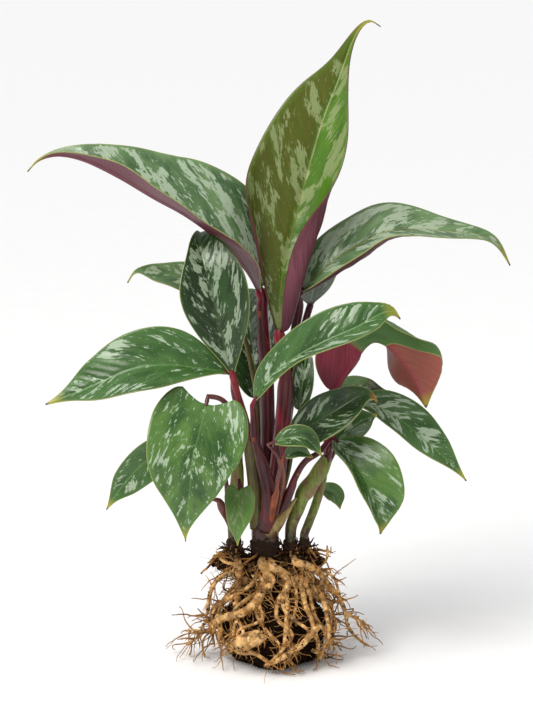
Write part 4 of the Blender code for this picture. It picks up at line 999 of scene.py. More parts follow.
def peat(name, settings, offset):
    """Peat: dry broken plant matter, so dull and very dark with lighter crumbs and fibres."""
    material, tree, shader = new_material(name, Roughness=0.95, IOR=1.3, Specular_IOR_Level=0.1)
    place = add_node(tree, "ShaderNodeTexCoord")["Object"]
    crumb = patches(tree, place, (1.6, 1.6, 1.6), detail=5.0, offset=offset, roughness=0.7)
    broad = patches(tree, place, (9, 9, 9), detail=2.0, offset=offset + 3)
    shade = painted(
        tree, settings.dark,
        (crumb, 0.50, 0.74, 0.9, settings.light),
        (broad, 0.42, 0.58, 0.7, settings.dark))
    finish_skin(tree, shader, shade, crumb, 1.0)
    return material


def group_tree(name, inputs):
    """An empty Geometry Nodes tree with geometry in and out, and these named inputs."""
    tree = bpy.data.node_groups.new(name, "GeometryNodeTree")
    tree.interface.new_socket("Geometry", in_out="INPUT", socket_type="NodeSocketGeometry")
    for socket, (kind, default) in inputs.items():
        item = tree.interface.new_socket(socket, in_out="INPUT", socket_type="NodeSocket" + kind)
        if default is not None:
            item.default_value = default
    tree.interface.new_socket("Geometry", in_out="OUTPUT", socket_type="NodeSocketGeometry")
    return tree, add_node(tree, "NodeGroupInput")


def end_tree(tree, geometry, material):
    """The last nodes of every tree: real geometry in its material."""
    real = add_node(tree, "GeometryNodeRealizeInstances", {0: geometry})[0]
    finished = add_node(tree, "GeometryNodeSetMaterial", {"Geometry": real, "Material": material})[0]
    add_node(tree, "NodeGroupOutput", {0: finished})


def tube_tree():
    """A tree that sweeps a round section along each path, with wrinkles. It keeps how far along its path
    each place is, in metres and as a share."""
    tree, given = group_tree("Tubes along paths", {
        "Sides": ("Int", 12), "Wrinkle": ("Float", 0.0), "Wrinkle size": ("Float", 0.003),
        "Material": ("Material", None)})
    spline = add_node(tree, "GeometryNodeSplineParameter")
    kept = {"along": spline["Length"], "to_tip": spline["Factor"]}
    capture = tree.nodes.new("GeometryNodeCaptureAttribute")
    tree.links.new(given["Geometry"], capture.inputs[0])
    for number, (name, value) in enumerate(kept.items()):
        capture.capture_items.new("FLOAT", name)
        tree.links.new(value, capture.inputs[number + 1])
    section = add_node(tree, "GeometryNodeCurvePrimitiveCircle", {
        "Resolution": given["Sides"], "Radius": 1.0})[0]
    radius = add_node(tree, "GeometryNodeInputRadius")[0]
    tube = add_node(tree, "GeometryNodeCurveToMesh", {
        "Curve": capture.outputs[0], "Profile Curve": section, "Scale": radius, "Fill Caps": True})[0]
    for number, name in enumerate(kept):
        tube = add_node(tree, "GeometryNodeStoreNamedAttribute", {
            "Geometry": tube, "Name": name, "Value": capture.outputs[number + 1]})[0]
    scale = add_node(tree, "ShaderNodeMath", {0: 1.0, 1: given["Wrinkle size"]}, operation="DIVIDE")[0]
    lumps = add_node(tree, "ShaderNodeTexNoise", {"Scale": scale, "Detail": 3.0})[0]
    centred = add_node(tree, "ShaderNodeMath", {0: lumps, 1: 0.5}, operation="SUBTRACT")[0]
    push = add_node(tree, "ShaderNodeMath", {0: centred, 1: given["Wrinkle"]}, operation="MULTIPLY")[0]
    normal = add_node(tree, "GeometryNodeInputNormal")[0]
    offset = add_node(tree, "ShaderNodeVectorMath", {0: normal, "Scale": push}, operation="SCALE")[0]
    moved = add_node(tree, "GeometryNodeSetPosition", {"Geometry": tube, "Offset": offset})[0]
    end_tree(tree, moved, given["Material"])
    return tree


def shaken(tree, geometry, scale, detail, middle, amount):
    """The geometry with each place moved by a noise, less that noise's middle, times the amount."""
    wander = add_node(tree, "ShaderNodeTexNoise", {"Scale": scale, "Detail": detail})["Color"]
    centred = add_node(tree, "ShaderNodeVectorMath", {0: wander, 1: middle}, operation="SUBTRACT")[0]
    offset = add_node(tree, "ShaderNodeVectorMath", {0: centred, "Scale": amount}, operation="SCALE")[0]
    return add_node(tree, "GeometryNodeSetPosition", {"Geometry": geometry, "Offset": offset})[0]


def kept_above(tree, geometry, height):
    """The geometry with what lies lower than this height moved up to it."""
    where = add_node(tree, "ShaderNodeSeparateXYZ", {0: add_node(tree, "GeometryNodeInputPosition")[0]})
    above = add_node(tree, "ShaderNodeMath", {0: where[2], 1: height}, operation="MAXIMUM")[0]
    lifted = add_node(tree, "ShaderNodeCombineXYZ", {0: where[0], 1: where[1], 2: above})[0]
    return add_node(tree, "GeometryNodeSetPosition", {"Geometry": geometry, "Position": lifted})[0]


def scattered(tree, points, instance, rotation, scale):
    """Real copies of an instance on the points."""
    placed = add_node(tree, "GeometryNodeInstanceOnPoints", {
        "Points": points, "Instance": instance, "Rotation": rotation, "Scale": scale})[0]
    return add_node(tree, "GeometryNodeRealizeInstances", {0: placed})[0]


def hair_tree():
    """A tree that grows thin curly hair roots all over a surface."""
    tree, given = group_tree("Hair roots", {
        "Density": ("Float", 50000.0), "Length": ("Float", 0.01), "Radius": ("Float", 0.00018),
        "Seed": ("Int", 5), "Material": ("Material", None)})
    points = add_node(tree, "GeometryNodeDistributePointsOnFaces", {
        "Mesh": given["Geometry"], "Density": given["Density"], "Seed": given["Seed"]})
    strand = add_node(tree, "GeometryNodeCurvePrimitiveLine", {"End": (0.0, 0.0, 1.0)})[0]
    strand = add_node(tree, "GeometryNodeResampleCurve", {"Curve": strand, "Count": 8})[0]
    lean = add_node(tree, "FunctionNodeRandomValue", {
        "Min": (-1.2, -1.2, 0.0), "Max": (1.2, 1.2, WHOLE_TURN), "Seed": given["Seed"]},
        data_type="FLOAT_VECTOR")[0]
    turned = add_node(tree, "FunctionNodeRotateRotation", {
        "Rotation": points["Rotation"], "Rotate By": lean}, rotation_space="LOCAL")[0]
    reach = add_node(tree, "FunctionNodeRandomValue", {2: 0.25, 3: 1.0}, data_type="FLOAT")[1]
    size = add_node(tree, "ShaderNodeMath", {0: reach, 1: given["Length"]}, operation="MULTIPLY")[0]
    grown = scattered(tree, points["Points"], strand, turned, size)
    # each hair curls more towards its tip, and sinks a little
    share = add_node(tree, "GeometryNodeSplineParameter")["Factor"]
    amount = add_node(tree, "ShaderNodeMath", {0: share, 1: given["Length"]}, operation="MULTIPLY")[0]
    amount = add_node(tree, "ShaderNodeMath", {0: amount, 1: 1.6}, operation="MULTIPLY")[0]
    curled = kept_above(tree, shaken(tree, grown, 120.0, 1.0, (0.5, 0.5, 0.62), amount), 0.4 * MM)
    thin = add_node(tree, "ShaderNodeMath", {0: share, 1: -0.6, 2: 1.0}, operation="MULTIPLY_ADD")[0]
    radius = add_node(tree, "ShaderNodeMath", {0: thin, 1: given["Radius"]}, operation="MULTIPLY")[0]
    section = add_node(tree, "GeometryNodeCurvePrimitiveCircle", {"Resolution": 4, "Radius": 1.0})[0]
    swept = add_node(tree, "GeometryNodeCurveToMesh", {
        "Curve": curled, "Profile Curve": section, "Scale": radius, "Fill Caps": True})[0]
    end_tree(tree, swept, given["Material"])
    return tree


def crumb_tree():
    """A tree that scatters crumbs of peat over a surface."""
    tree, given = group_tree("Peat crumbs", {
        "Density": ("Float", 90000.0), "Size": ("Float", 0.001), "Seed": ("Int", 3),
        "Material": ("Material", None)})
    points = add_node(tree, "GeometryNodeDistributePointsOnFaces", {
        "Mesh": given["Geometry"], "Density": given["Density"], "Seed": given["Seed"]})
    crumb = add_node(tree, "GeometryNodeMeshIcoSphere", {"Radius": 1.0, "Subdivisions": 2})[0]
    spin = add_node(tree, "FunctionNodeRandomValue", {"Max": (WHOLE_TURN, WHOLE_TURN, WHOLE_TURN)},
                    data_type="FLOAT_VECTOR")[0]
    stretch = add_node(tree, "FunctionNodeRandomValue", {"Min": (0.3, 0.3, 0.3), "Max": (1.0, 1.0, 1.4)},
                       data_type="FLOAT_VECTOR")[0]
    size = add_node(tree, "ShaderNodeVectorMath", {0: stretch, "Scale": given["Size"]}, operation="SCALE")[0]
    grown = scattered(tree, points["Points"], crumb, spin, size)
    rough = shaken(tree, grown, 900.0, 2.0, (0.5, 0.5, 0.5), given["Size"])
    end_tree(tree, kept_above(tree, rough, 0.0), given["Material"])
    return tree


def add_object(name, data):
    """A new object in the scene with this mesh or curve."""
    item = bpy.data.objects.new(name, data)
    bpy.context.scene.collection.objects.link(item)
    return item


def finished_mesh(item):
    """The mesh of an object with its modifiers applied. The object is removed."""
    bpy.context.view_layer.update()
    evaluated = item.evaluated_get(bpy.context.evaluated_depsgraph_get())
    mesh = bpy.data.meshes.new_from_object(evaluated)
    bpy.data.objects.remove(item)
    return mesh


def solid_mesh(item, thickness, **settings):
    """The mesh of an object that gets this thickness on its lower side. The object is removed."""
    solidify = item.modifiers.new("thickness", "SOLIDIFY")
    solidify.thickness = thickness
    solidify.offset = -1.0
    for name, value in settings.items():
        setattr(solidify, name, value)
    return finished_mesh(item)


def mesh_of(surface, name):
    """The mesh of a bmesh, which is freed."""
    mesh = bpy.data.meshes.new(name)
    surface.to_mesh(mesh)
    surface.free()
    return mesh


def grown_mesh(data, tree, **values):
    """The plain mesh that a Geometry Nodes tree makes of a mesh or curve."""
    item = add_object("growing", data)
    modifier = item.modifiers.new("growth", "NODES")
    modifier.node_group = tree
    for socket in tree.interface.items_tree:
        name = socket.name.lower().replace(" ", "_")
        if socket.in_out == "INPUT" and name in values:
            modifier[socket.identifier] = values[name]
    return finished_mesh(item)


def add_piece(name, mesh, slot, *nodes):
    """A finished piece that rides on the plant and stands for these solids."""
    mesh.name = name
    piece = add_object(name, mesh)
    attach(piece, "root")
    if nodes:
        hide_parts(*nodes)


def leaf_mesh(name, spec, settings):
    """A blade's grid, with its relief, where each place lies on it, and its thickness."""
    blade = Blade(spec)
    spacing = blade.length / settings.side_veins
    across_steps, along_steps = spec.grid
    surface = bmesh.new()
    bmesh.ops.create_grid(surface, x_segments=across_steps, y_segments=along_steps, size=1.0)
    weights = surface.verts.layers.deform.verify()
    veins = surface.verts.layers.float_vector.new("vein_place")
    edges = surface.verts.layers.float.new("edge")
    shares = surface.verts.layers.float.new("share")
    for vertex in surface.verts:
        across = vertex.co.x
        step = (vertex.co.y + 1) / 2
        # the rows are closer together at the base and at the tip
        share = min(max(step - 0.07 * math.sin(2 * math.pi * step), 0.0), 1.0)
        vein = blade.vein_place(across, share)
        out = abs(vein.y)
        width = blade.width_at(share, across > 0)
        full = smooth_step(0.0, 0.25, share) * smooth_step(1.0, 0.8, share)
        swell = math.cos(2 * math.pi * vein.x / spacing) * smooth_step(0.0, 3.0, out)
        swell *= smooth_step(0.0, 6.0, width - out)
        groove = math.exp(-(out / 1.3) ** 2)
        relief = -full * (settings.vein_relief * swell + settings.groove * groove) / MM
        vertex.co = blade.place(across, share, relief) * MM
        vertex[veins] = vein * MM
        vertex[edges] = (width - out) * MM
        vertex[shares] = share
        # thickest at the midrib, which is wider and thicker near the base
        rib = math.exp(-(out / (1.0 + 0.9 * (1 - share))) ** 2) * (1 - share) ** 0.7
        vertex[weights][0] = settings.thickness / settings.rib_thickness * (1 - rib) + rib
    mesh = mesh_of(surface, name)
    mesh.shade_smooth()
    return mesh, spacing


def make_leaf(name, spec, look_of, settings):
    """A finished leaf blade in place of its solid."""
    mesh, spacing = leaf_mesh(name, spec, settings)
    plain = name.replace("_", " ")
    mesh.materials.append(leaf_upper(plain + " upper", look_of, spacing, settings))
    mesh.materials.append(leaf_underside(plain + " underside", look_of, spacing, settings))
    mesh.materials.append(leaf_margin(plain + " margin", look_of))
    item = add_object(name + "_blade", mesh)
    item.vertex_groups.new(name="thickness")
    blade = solid_mesh(item, settings.rib_thickness, vertex_group="thickness", material_offset=1,
                       material_offset_rim=2)
    add_piece(name + "_blade", blade, "leaf", name)


def paths_curve(tubes):
    """A curve with one path for each tube, given as places and radii in millimetres."""
    curve = bpy.data.curves.new("paths", "CURVE")
    curve.dimensions = "3D"
    for path, radii in tubes:
        spline = curve.splines.new("POLY")
        spline.points.add(len(path) - 1)
        for point, place, radius in zip(spline.points, path, radii):
            point.co = (*(place * MM), 1.0)
            point.radius = radius * MM
    return curve


def radii_between(ends, count):
    """Radii that change evenly from the first to the last of a tube's places."""
    first, last = ends
    return [first + (last - first) * step / (count - 1) for step in range(count)]


def stalk_tube(spec):
    """A leaf stalk, from just inside its blade's base, in line with it, down to its shoot."""
    foot, along = Blade(spec).midrib_at(0.0)
    points = [foot - along * STALK_LEAD] + [Vector(place) for place in spec.stalk]
    path = [foot + along * 1.5, foot - along * 2.0] + smooth_path(points, even_shares(TUBE_STEPS))
    radii = radii_between(spec.radii, len(path))
    radii[0] = 0.6 * radii[0]
    return path, radii


def sheath_mesh(sheath, skin):
    """A sheath: a thin strip bent round a stretch of its leaf's stalk, narrowing to its top."""
    path, radii = stalk_tube(LEAVES[sheath.leaf])
    faces = Vector(sheath.faces).normalized()
    surface = bmesh.new()
    rims = surface.verts.layers.float.new("rim")
    strip = []
    for down in even_shares(SHEATH_ROWS):
        share = sheath.top + (sheath.bottom - sheath.top) * down
        middle = smooth_value(path, share)
        along = (smooth_value(path, share + 0.02) - smooth_value(path, share - 0.02)).normalized()
        front = (faces - along * faces.dot(along)).normalized()
        side = along.cross(front)
        radius = smooth_value(radii, share) + sheath.spare * smooth_step(0.0, 0.25, down)
        wrap = math.radians(sheath.wrap) * (0.15 + 0.85 * smooth_step(0.0, 0.4, down))
        line = []
        for column in range(SHEATH_COLUMNS + 1):
            across = 2 * column / SHEATH_COLUMNS - 1
            round_place = front * math.cos(wrap * across) + side * math.sin(wrap * across)
            vertex = surface.verts.new((middle + round_place * radius) * MM)
            vertex[rims] = max(smooth_step(0.82, 1.0, abs(across)), smooth_step(0.06, 0.0, down))
            line.append(vertex)
        strip.append(line)
    for above, below in zip(strip, strip[1:]):
        for column in range(SHEATH_COLUMNS):
            surface.faces.new((above[column], above[column + 1], below[column + 1], below[column]))
    mesh = mesh_of(surface, "sheath")
    mesh.materials.append(skin)
    return solid_mesh(add_object("sheath", mesh), SHEATH_THICKNESS * MM)


def collar_tube(stem):
    """The rough collar round a stem's foot, as a path and radii."""
    shares = even_shares(COLLAR_STEPS)
    path = smooth_path(stem.path, shares)
    low = [(place, smooth_value(stem.radii, share)) for place, share in zip(path, shares)
           if place.z < FOOT_Z + COLLAR_HEIGHT]
    places = [place for place, radius in low]
    bulges = [COLLAR_SWELL * math.sin(0.5 * math.pi * down) - COLLAR_INSET
              for down in even_shares(len(low) - 1)]
    lumps = [COLLAR_LUMPS * noise.noise(place / 4.0) for place in places]
    return places, [radius + bulge + lump for (place, radius), bulge, lump in zip(low, bulges, lumps)]


def make_shoot(name, skins, slot, tree, settings):
    """A shoot with the stalks of the leaves that it bears and their sheaths, each in its own skin."""
    tubes = {}
    for stem, skin in zip(STEMS[name], STEM_SKINS[name]):
        shares = even_shares(TUBE_STEPS)
        tube = (smooth_path(stem.path, shares), [smooth_value(stem.radii, share) for share in shares])
        tubes.setdefault(skin, []).append(tube)
    for leaf_name, spec in LEAVES.items():
        if spec.shoot == name:
            tubes.setdefault(STALK_SKINS.get(leaf_name, "stalk skin"), []).append(stalk_tube(spec))
    meshes = [grown_mesh(paths_curve(group), tree, sides=settings.sides, material=skins[skin],
                         **STALK_WRINKLES) for skin, group in tubes.items()]
    collars = [collar_tube(stem) for stem in STEMS[name] if stem.path[-1][2] == FOOT_Z]
    meshes.append(grown_mesh(paths_curve(collars), tree, sides=COLLAR_SIDES,
                             material=skins["stem foot cork"], **COLLAR_WRINKLES))
    meshes += [sheath_mesh(sheath, skins[sheath.skin]) for sheath in SHEATHS
               if LEAVES[sheath.leaf].shoot == name]
    mesh = joined(meshes)
    mesh.shade_smooth()
    add_piece(name + "_stalks", mesh, slot, name)


def soil_size(direction):
    """How far the lumpy soil reaches this way, where 1 is the smooth egg."""
    return 1 + SOIL_LUMPS * (math.sin(5 * direction.x + 2 * direction.z) * math.cos(4 * direction.y)
                             + 0.5 * math.sin(9 * direction.y + 6 * direction.z))


def clear_reach(place, radius, lift):
    """How far from the upright axis a root of this radius must be at this place, to clear the soil."""
    direction = Vector((place.x / SOIL_HALF_WIDTH, place.y / SOIL_HALF_WIDTH,
                        (place.z - SOIL_CENTRE_Z) / SOIL_HALF_HEIGHT)).normalized()
    reach = soil_size(direction) + (radius + 2 * GAP + lift) / SOIL_HALF_WIDTH
    height = (place.z - SOIL_CENTRE_Z) / SOIL_HALF_HEIGHT
    return SOIL_HALF_WIDTH * math.sqrt(max(reach ** 2 - height ** 2, 0.0))


def clear_of_soil(place, radius, lift):
    """The place moved outwards, level, until a root of this radius clears the soil and the ground."""
    place = Vector((place.x, place.y, max(place.z, radius + 0.8)))
    level = Vector((place.x, place.y, 0.0))
    needed = clear_reach(place, radius, lift)
    if level.length < needed:
        level = level.normalized() * needed
    return Vector((level.x, level.y, place.z))


def rhizome_front(x, z):
    """How far the rhizome reaches towards the viewer at a place across and up."""
    across = (x - RHIZOME_CENTRE.x) / RHIZOME_HALF_SIZE.x
    up = (z - RHIZOME_CENTRE.z) / RHIZOME_HALF_SIZE.z
    return RHIZOME_HALF_SIZE.y * math.sqrt(max(1.0 - across ** 2 - up ** 2, 0.0)) - RHIZOME_CENTRE.y


def front_root_path(root):
    """A root that lies on the front of the ball, from its places across and up. One that starts high comes
    over the front of the rhizome from the nearest stem's foot."""
    shares = even_shares(3 * (len(root.places) - 1) // 2)
    radii = radii_between(root.radii, len(shares))
    path = []
    for place, radius in zip(smooth_path([(x, 0.0, z) for x, z in root.places], shares), radii):
        reach = clear_reach(Vector((0.0, -1.0, place.z)), radius, root.lift)
        depth = math.sqrt(max(reach ** 2 - place.x ** 2, 1.0))
        depth = max(depth, rhizome_front(place.x, place.z) + 0.4 * radius)
        path.append(clear_of_soil(Vector((place.x, -depth, place.z)), radius, root.lift))
    x, z = root.places[0]
    if z >= OVER_RHIZOME_Z:
        foot = min(STEM_FEET, key=lambda foot: abs(foot.x - x))
        path.insert(0, Vector((0.5 * (x + foot.x), foot.y - 3.0, RHIZOME_TOP - 3.0)))
    return path


def spreading_root(index, draw):
    """A root that leaves the rhizome at its own side, and wanders down round the ball."""
    angle = GOLDEN_ANGLE * index + draw.uniform(-0.3, 0.3)
    wander = draw.uniform(-0.7, 0.7)
    lift = draw.uniform(0.0, 9.0)
    end_height = draw.uniform(3.0, 26.0)
    top_radius = draw.uniform(1.3, 2.3)
    sway = draw.uniform(0.1, 0.3)
    turns = draw.uniform(1.0, 2.0)
    path = [RHIZOME_CENTRE + Vector((math.cos(angle) * 22, math.sin(angle) * 8, -2))]
    radii = [top_radius]
    for share in even_shares(SPREADING_ROOT_SEGMENTS)[1:]:
        radius = top_radius * (1 - 0.55 * share)
        heading = angle + wander * share + sway * math.sin(2 * math.pi * turns * share)
        height = RHIZOME_CENTRE.z - 2 + (end_height - RHIZOME_CENTRE.z) * share ** 1.15
        spread = 20 + 10 * share
        place = Vector((math.cos(heading) * spread, math.sin(heading) * spread, height))
        path.append(clear_of_soil(place, radius, lift * min(3 * share, 1.0)))
        radii.append(radius)
    return path, radii


def rounded_tube(path, radii):
    """The tube with a smoother path, a swell here and there, and a tip that closes to a point."""
    shares = even_shares(8 * (len(path) - 1))
    fine = smooth_path(path, shares)
    swell = [1 + ROOT_SWELL * noise.noise(place / 5.0) for place in fine]
    thick = [smooth_value(radii, share) * size for share, size in zip(shares, swell)]
    for step, share in enumerate((0.25, 0.6, 0.85)):
        thick[len(thick) - 1 - step] *= share
    return fine, thick


def root_tubes():
    """Every root's path and radii."""
    tubes = []
    for root in FRONT_ROOTS:
        path = front_root_path(root)
        tubes.append(rounded_tube(path, radii_between(root.radii, len(path))))
    widest = max(SWOLLEN_RADII)
    path = front_root_path(Root(SWOLLEN_ROOT, (widest, widest), 0))
    tubes.append(rounded_tube(path, SWOLLEN_RADII))
    draw = random.Random(ROOT_SEED)
    for index in range(SPREADING_ROOTS):
        tubes.append(rounded_tube(*spreading_root(index, draw)))
    return tubes


def wandering_tube(draw, place, heading, length, radius, bend, fall=0.0, ceiling=math.inf):
    """A thin root from this place, that turns this way and that, clear of the soil and below the ceiling.
    Bend is how sharply it turns, and fall is how far its turns are shifted downwards."""
    line = [place]
    for _ in range(ROOTLET_STEPS):
        turn = Vector((draw.uniform(-1, 1), draw.uniform(-1, 1), draw.uniform(-1 - fall, 1 - fall)))
        heading = (heading + turn * bend).normalized()
        place = clear_of_soil(place + heading * (length / ROOTLET_STEPS), radius, 0.0)
        line.append(Vector((place.x, place.y, min(place.z, ceiling))))
    return line, radii_between((radius, 0.4 * radius), len(line))


def rootlet_tubes(tubes, count):
    """Thin roots that branch from the others, lean outwards and wander down over the ball."""
    draw = random.Random(ROOTLET_SEED)
    rootlets = []
    for _ in range(count):
        path = draw.choice(tubes)[0]
        place = path[draw.randrange(len(path) // 6, len(path))]
        outward = Vector((place.x, place.y, 0.0)).normalized()
        level = Vector((draw.uniform(-1, 1), draw.uniform(-1, 1), draw.uniform(-0.9, 0.5)))
        heading = (outward * draw.uniform(0.0, 0.9) + level).normalized()
        length = draw.uniform(7.0, 30.0)
        radius = draw.uniform(0.35, 0.85)
        rootlets.append(wandering_tube(draw, place, heading, length, radius, bend=0.35, fall=0.1,
                                       ceiling=RHIZOME_TOP))
    return rootlets


def foot_tubes(count, lift, lengths, thickness, seed):
    """Fibres or small roots all round each stem's foot, that rise or fall by the lift as they spread."""
    draw = random.Random(seed)
    tubes = []
    for foot in STEM_FEET:
        for _ in range(count):
            angle = draw.uniform(0.0, 2 * math.pi)
            outward = Vector((math.cos(angle), math.sin(angle), 0.0))
            aside = outward * draw.uniform(3.0, 7.0)
            place = foot + aside + Vector((0.0, 0.0, RHIZOME_TOP + draw.uniform(0, 5)))
            heading = (outward + Vector((0.0, 0.0, lift * draw.uniform(0.4, 1.2)))).normalized()
            length = draw.uniform(*lengths)
            radius = draw.uniform(*thickness)
            tubes.append(wandering_tube(draw, place, heading, length, radius, bend=0.3))
    return tubes


def in_order(face):
    """The numbers of a face's corners, from the lowest on."""
    corners = [vertex.index for vertex in face.verts]
    first = corners.index(min(corners))
    return corners[first:] + corners[:first]


def rhizome_mesh():
    """The rough knobbly rhizome, which bears the stems' feet and sinks away between them."""
    sphere = bmesh.new()
    bmesh.ops.create_uvsphere(sphere, u_segments=160, v_segments=80, radius=1.0)
    sphere.verts.index_update()
    places = []
    bareness = []
    for vertex in sphere.verts:
        direction = vertex.co.normalized()
        knobs = 1 + 0.06 * math.sin(7 * direction.x + 3 * direction.y) + 0.04 * math.cos(9 * direction.y)
        rough = 0.06 * noise.fractal(direction * 4, 0.8, 2.0, 4) + 0.16 * abs(noise.noise(direction * 6))
        size = RHIZOME_HALF_SIZE * (knobs - rough)
        place = RHIZOME_CENTRE + Vector(far * reach for far, reach in zip(direction, size))
        from_foot = min((foot - place).xy.length for foot in STEM_FEET)
        # the top is flat under the feet and sinks between them
        sunk = 3.5 * smooth_step(6.0, 16.0, from_foot) + 1.5 * abs(noise.noise(place / 3.0))
        place.z = min(place.z, RHIZOME_TOP - sunk)
        places.append(place * MM)
        bareness.append(smooth_step(7.0, 15.0, from_foot))
    # a sphere's faces come in a new order each time, and what is scattered on them goes by it
    faces = sorted(in_order(face) for face in sphere.faces)
    sphere.free()
    mesh = bpy.data.meshes.new("rhizome")
    mesh.from_pydata(places, [], faces)
    mesh.attributes.new("bare", "FLOAT", "POINT").data.foreach_set("value", bareness)
    return mesh


def soil_mesh():
    """The core of soil, crumbly all over, with its flat underside at zero height."""
    surface = bmesh.new()
    bmesh.ops.create_icosphere(surface, subdivisions=6, radius=1.0)
    for vertex in surface.verts:
        direction = vertex.co.normalized()
        crumbs = 0.05 * abs(noise.fractal(direction * 9, 0.7, 2.0, 6))
        size = soil_size(direction) - crumbs
        vertex.co.x = direction.x * size * SOIL_HALF_WIDTH
        vertex.co.y = direction.y * size * SOIL_HALF_WIDTH
        vertex.co.z = max(direction.z * size * SOIL_HALF_HEIGHT + SOIL_CENTRE_Z, 0.0)
        vertex.co *= MM
    return mesh_of(surface, "soil")


def joined(meshes):
    """One mesh from several, each keeping its material and its attributes."""
    items = [add_object("part", mesh) for mesh in meshes]
    with bpy.context.temp_override(active_object=items[0], object=items[0], selected_objects=items,
                                   selected_editable_objects=items):
        bpy.ops.object.join()
    mesh = items[0].data
    bpy.data.objects.remove(items[0])
    return mesh


class APOBALLIS_OT_leaves(bpy.types.Operator):
    """Make every leaf blade"""
    bl_idname = "apoballis.leaves"
    bl_label = "Leaf blades"

    def execute(self, context):
        scene = context.scene
        for name, spec in LEAVES.items():
            look_of = coloured(LOOKS[name], scene.apoballis_leaf_colours)
            make_leaf(name, spec, look_of, scene.apoballis_leaves)
        return {"FINISHED"}


class APOBALLIS_OT_shoots(bpy.types.Operator):
    """Make the shoots, with their stems, leaf stalks and sheaths"""
    bl_idname = "apoballis.shoots"
    bl_label = "Stems and stalks"

    def execute(self, context):
        settings = context.scene.apoballis_stems
        tree = tube_tree()
        skins = {
            "stem skin": stem_skin(settings),
            "stem foot cork": cork_skin("stem foot cork", settings.bark, shaded(settings.bark, 2.0),
                                        settings.bract),
        }
        for name, (ground, glow) in SKIN_COLOURS.items():
            skins[name] = stalk_skin(name, getattr(settings, ground), getattr(settings, glow), settings)
        make_shoot("shoot_main", skins, "purple_stalk", tree, settings)
        for name in ("shoot_left", "cane", "stem_right"):
            make_shoot(name, skins, "green_stem", tree, settings)
        return {"FINISHED"}


class APOBALLIS_OT_roots(bpy.types.Operator):
    """Make the rhizome and its roots, the rootlets that branch from them, and their hair roots"""
    bl_idname = "apoballis.roots"
    bl_label = "Roots"

    def execute(self, context):
        settings = context.scene.apoballis_roots
        skin = root_skin("root skin", settings.tan, settings.pale, settings)
        tubes = root_tubes()
        tree = tube_tree()
        thick = grown_mesh(paths_curve(tubes), tree, sides=settings.sides, wrinkle=settings.wrinkle,
                           wrinkle_size=ROOT_WRINKLE_SIZE, material=skin)
        rhizome = rhizome_mesh()
        rhizome.materials.append(cork_skin("rhizome cork", settings.corm, settings.brown, settings.tan))
        whole = joined([thick, rhizome])
        whole.shade_smooth()
        hairs = grown_mesh(whole.copy(), hair_tree(), density=float(settings.hair_density),
                           length=settings.hair_length, material=skin)
        hairs.shade_smooth()
        rootlets = rootlet_tubes(tubes, settings.rootlets)
        rootlets += foot_tubes(**FOOT_ROOTS)
        fibres = foot_tubes(**FOOT_FIBRES)
        rootlet_skin = root_skin("rootlet skin", shaded(settings.tan, 0.5), settings.tan, settings)
        fibre_skin = cork_skin("dry fibre", settings.corm, settings.brown, settings.tan)
        thin = joined([
            grown_mesh(paths_curve(lines), tree, sides=ROOTLET_SIDES, material=thin_skin, **ROOTLET_WRINKLES)
            for lines, thin_skin in ((rootlets, rootlet_skin), (fibres, fibre_skin))])
        thin.shade_smooth()
        add_piece("rootlets", thin, "root")
        add_piece("hair_roots", hairs, "root")
        soil = context.scene.apoballis_soil
        clinging = peat("clinging peat", soil, 5.0)
        crumbs = grown_mesh(whole.copy(), crumb_tree(), density=float(soil.clinging_density),
                            size=0.6 * soil.crumb_size, material=clinging)
        clods = grown_mesh(rhizome_mesh(), crumb_tree(), density=float(soil.crumb_density),
                           size=1.5 * soil.crumb_size, material=clinging)
        add_piece("clinging_crumbs", joined([crumbs, clods]), "soil")
        add_piece("roots", whole, "root", "rhizome_with_roots")
        return {"FINISHED"}


class APOBALLIS_OT_soil(bpy.types.Operator):
    """Make the soil between the roots, and the crumbs on it"""
    bl_idname = "apoballis.soil"
    bl_label = "Soil"

    def execute(self, context):
        settings = context.scene.apoballis_soil
        core = soil_mesh()
        core.materials.append(peat("peat core", settings, 2.0))
        core.shade_smooth()
        crumbs = grown_mesh(core.copy(), crumb_tree(), density=float(settings.crumb_density),
                            size=settings.crumb_size, material=peat("peat crumbs", settings, 8.0))
        add_piece("soil_core", joined([core, crumbs]), "soil", "soil")
        return {"FINISHED"}


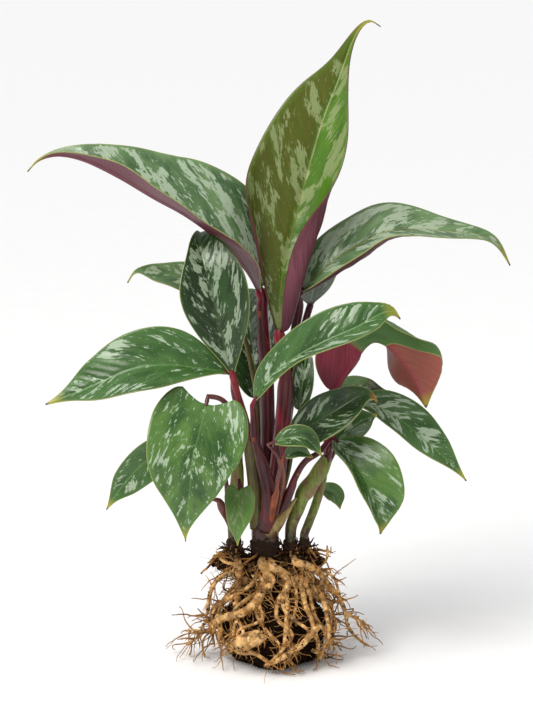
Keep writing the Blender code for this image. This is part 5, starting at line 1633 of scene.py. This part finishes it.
class APOBALLIS_OT_stage(bpy.types.Operator):
    """Make the floor, the lights and the camera"""
    bl_idname = "apoballis.stage"
    bl_label = "Stage"

    def execute(self, context):
        settings = context.scene.apoballis_stage
        surface = bmesh.new()
        bmesh.ops.create_grid(surface, x_segments=1, y_segments=1, size=settings.floor_size / 2)
        mesh = mesh_of(surface, "floor")
        material, tree, shader = new_material("pale floor", Roughness=0.9)
        place = add_node(tree, "ShaderNodeTexCoord")["Object"]
        fine = patches(tree, place, (40, 40, 40), detail=2.0)
        shade = painted(tree, settings.pale, (fine, 0.4, 0.6, 1.0, shaded(settings.pale, 0.99)))
        tree.links.new(shade, shader.inputs["Base Color"])
        mesh.materials.append(material)
        floor = add_object("floor", mesh)
        floor.location.z = -FLOOR_DROP

        world = bpy.data.worlds.new("soft white room")
        world.use_nodes = True
        background = world.node_tree.nodes["Background"]
        background.inputs["Color"].default_value = (1.0, 1.0, 1.0, 1.0)
        background.inputs["Strength"].default_value = settings.room_light
        context.scene.world = world
        context.scene.view_settings.view_transform = "Standard"

        lamp = bpy.data.lights.new("broad window light", "SUN")
        lamp.energy = settings.window_light
        lamp.angle = WINDOW_SPREAD
        window = add_object("broad window light", lamp)
        window.rotation_euler = WINDOW_HEADING.to_track_quat("-Z", "Y").to_euler()

        panel = bpy.data.lights.new("soft lamp", "AREA")
        panel.size = LAMP_SIZE
        panel.energy = settings.lamp_light
        panel.color = LAMP_COLOUR
        soft_lamp = add_object("soft lamp", panel)
        soft_lamp.location = LAMP_PLACE
        soft_lamp.rotation_euler = (LOOKED_AT - LAMP_PLACE).to_track_quat("-Z", "Y").to_euler()

        lens = bpy.data.cameras.new("photo camera")
        lens.sensor_fit = "VERTICAL"
        lens.sensor_height = SENSOR_HEIGHT
        lens.lens = SENSOR_HEIGHT * settings.distance / settings.view_height
        camera = add_object("photo camera", lens)
        away = Vector((0.0, -math.cos(settings.elevation), math.sin(settings.elevation)))
        camera.location = LOOKED_AT + away * settings.distance
        camera.rotation_euler = Euler((math.pi / 2 - settings.elevation, 0.0, 0.0))
        context.scene.camera = camera
        return {"FINISHED"}


OPERATORS = (APOBALLIS_OT_leaves, APOBALLIS_OT_shoots, APOBALLIS_OT_roots, APOBALLIS_OT_soil,
             APOBALLIS_OT_stage)
SETTINGS = {
    "apoballis_leaf_colours": LeafColours, "apoballis_leaves": LeafSettings, "apoballis_stems": StemSettings,
    "apoballis_roots": RootSettings, "apoballis_soil": SoilSettings, "apoballis_stage": StageSettings,
}


class VIEW3D_PT_apoballis(bpy.types.Panel):
    bl_label = "Bare-rooted apoballis"
    bl_space_type = "VIEW_3D"
    bl_region_type = "UI"
    bl_category = "Apoballis"

    def draw(self, context):
        for operator in OPERATORS:
            self.layout.operator(operator.bl_idname)
        for name in SETTINGS:
            settings = getattr(context.scene, name)
            box = self.layout.box()
            for prop in settings.bl_rna.properties:
                if prop.identifier not in {"rna_type", "name"}:
                    box.prop(settings, prop.identifier)


def register():
    for kind in (*SETTINGS.values(), *OPERATORS, VIEW3D_PT_apoballis):
        bpy.utils.register_class(kind)
    for name, kind in SETTINGS.items():
        setattr(bpy.types.Scene, name, PointerProperty(type=kind))


def unregister():
    for name in SETTINGS:
        delattr(bpy.types.Scene, name)
    for kind in (VIEW3D_PT_apoballis, *reversed(OPERATORS), *reversed(SETTINGS.values())):
        bpy.utils.unregister_class(kind)


def main():
    register()
    bpy.ops.apoballis.stage()
    bpy.ops.apoballis.leaves()
    bpy.ops.apoballis.shoots()
    bpy.ops.apoballis.roots()
    bpy.ops.apoballis.soil()


if __name__ == "__main__":
    main()
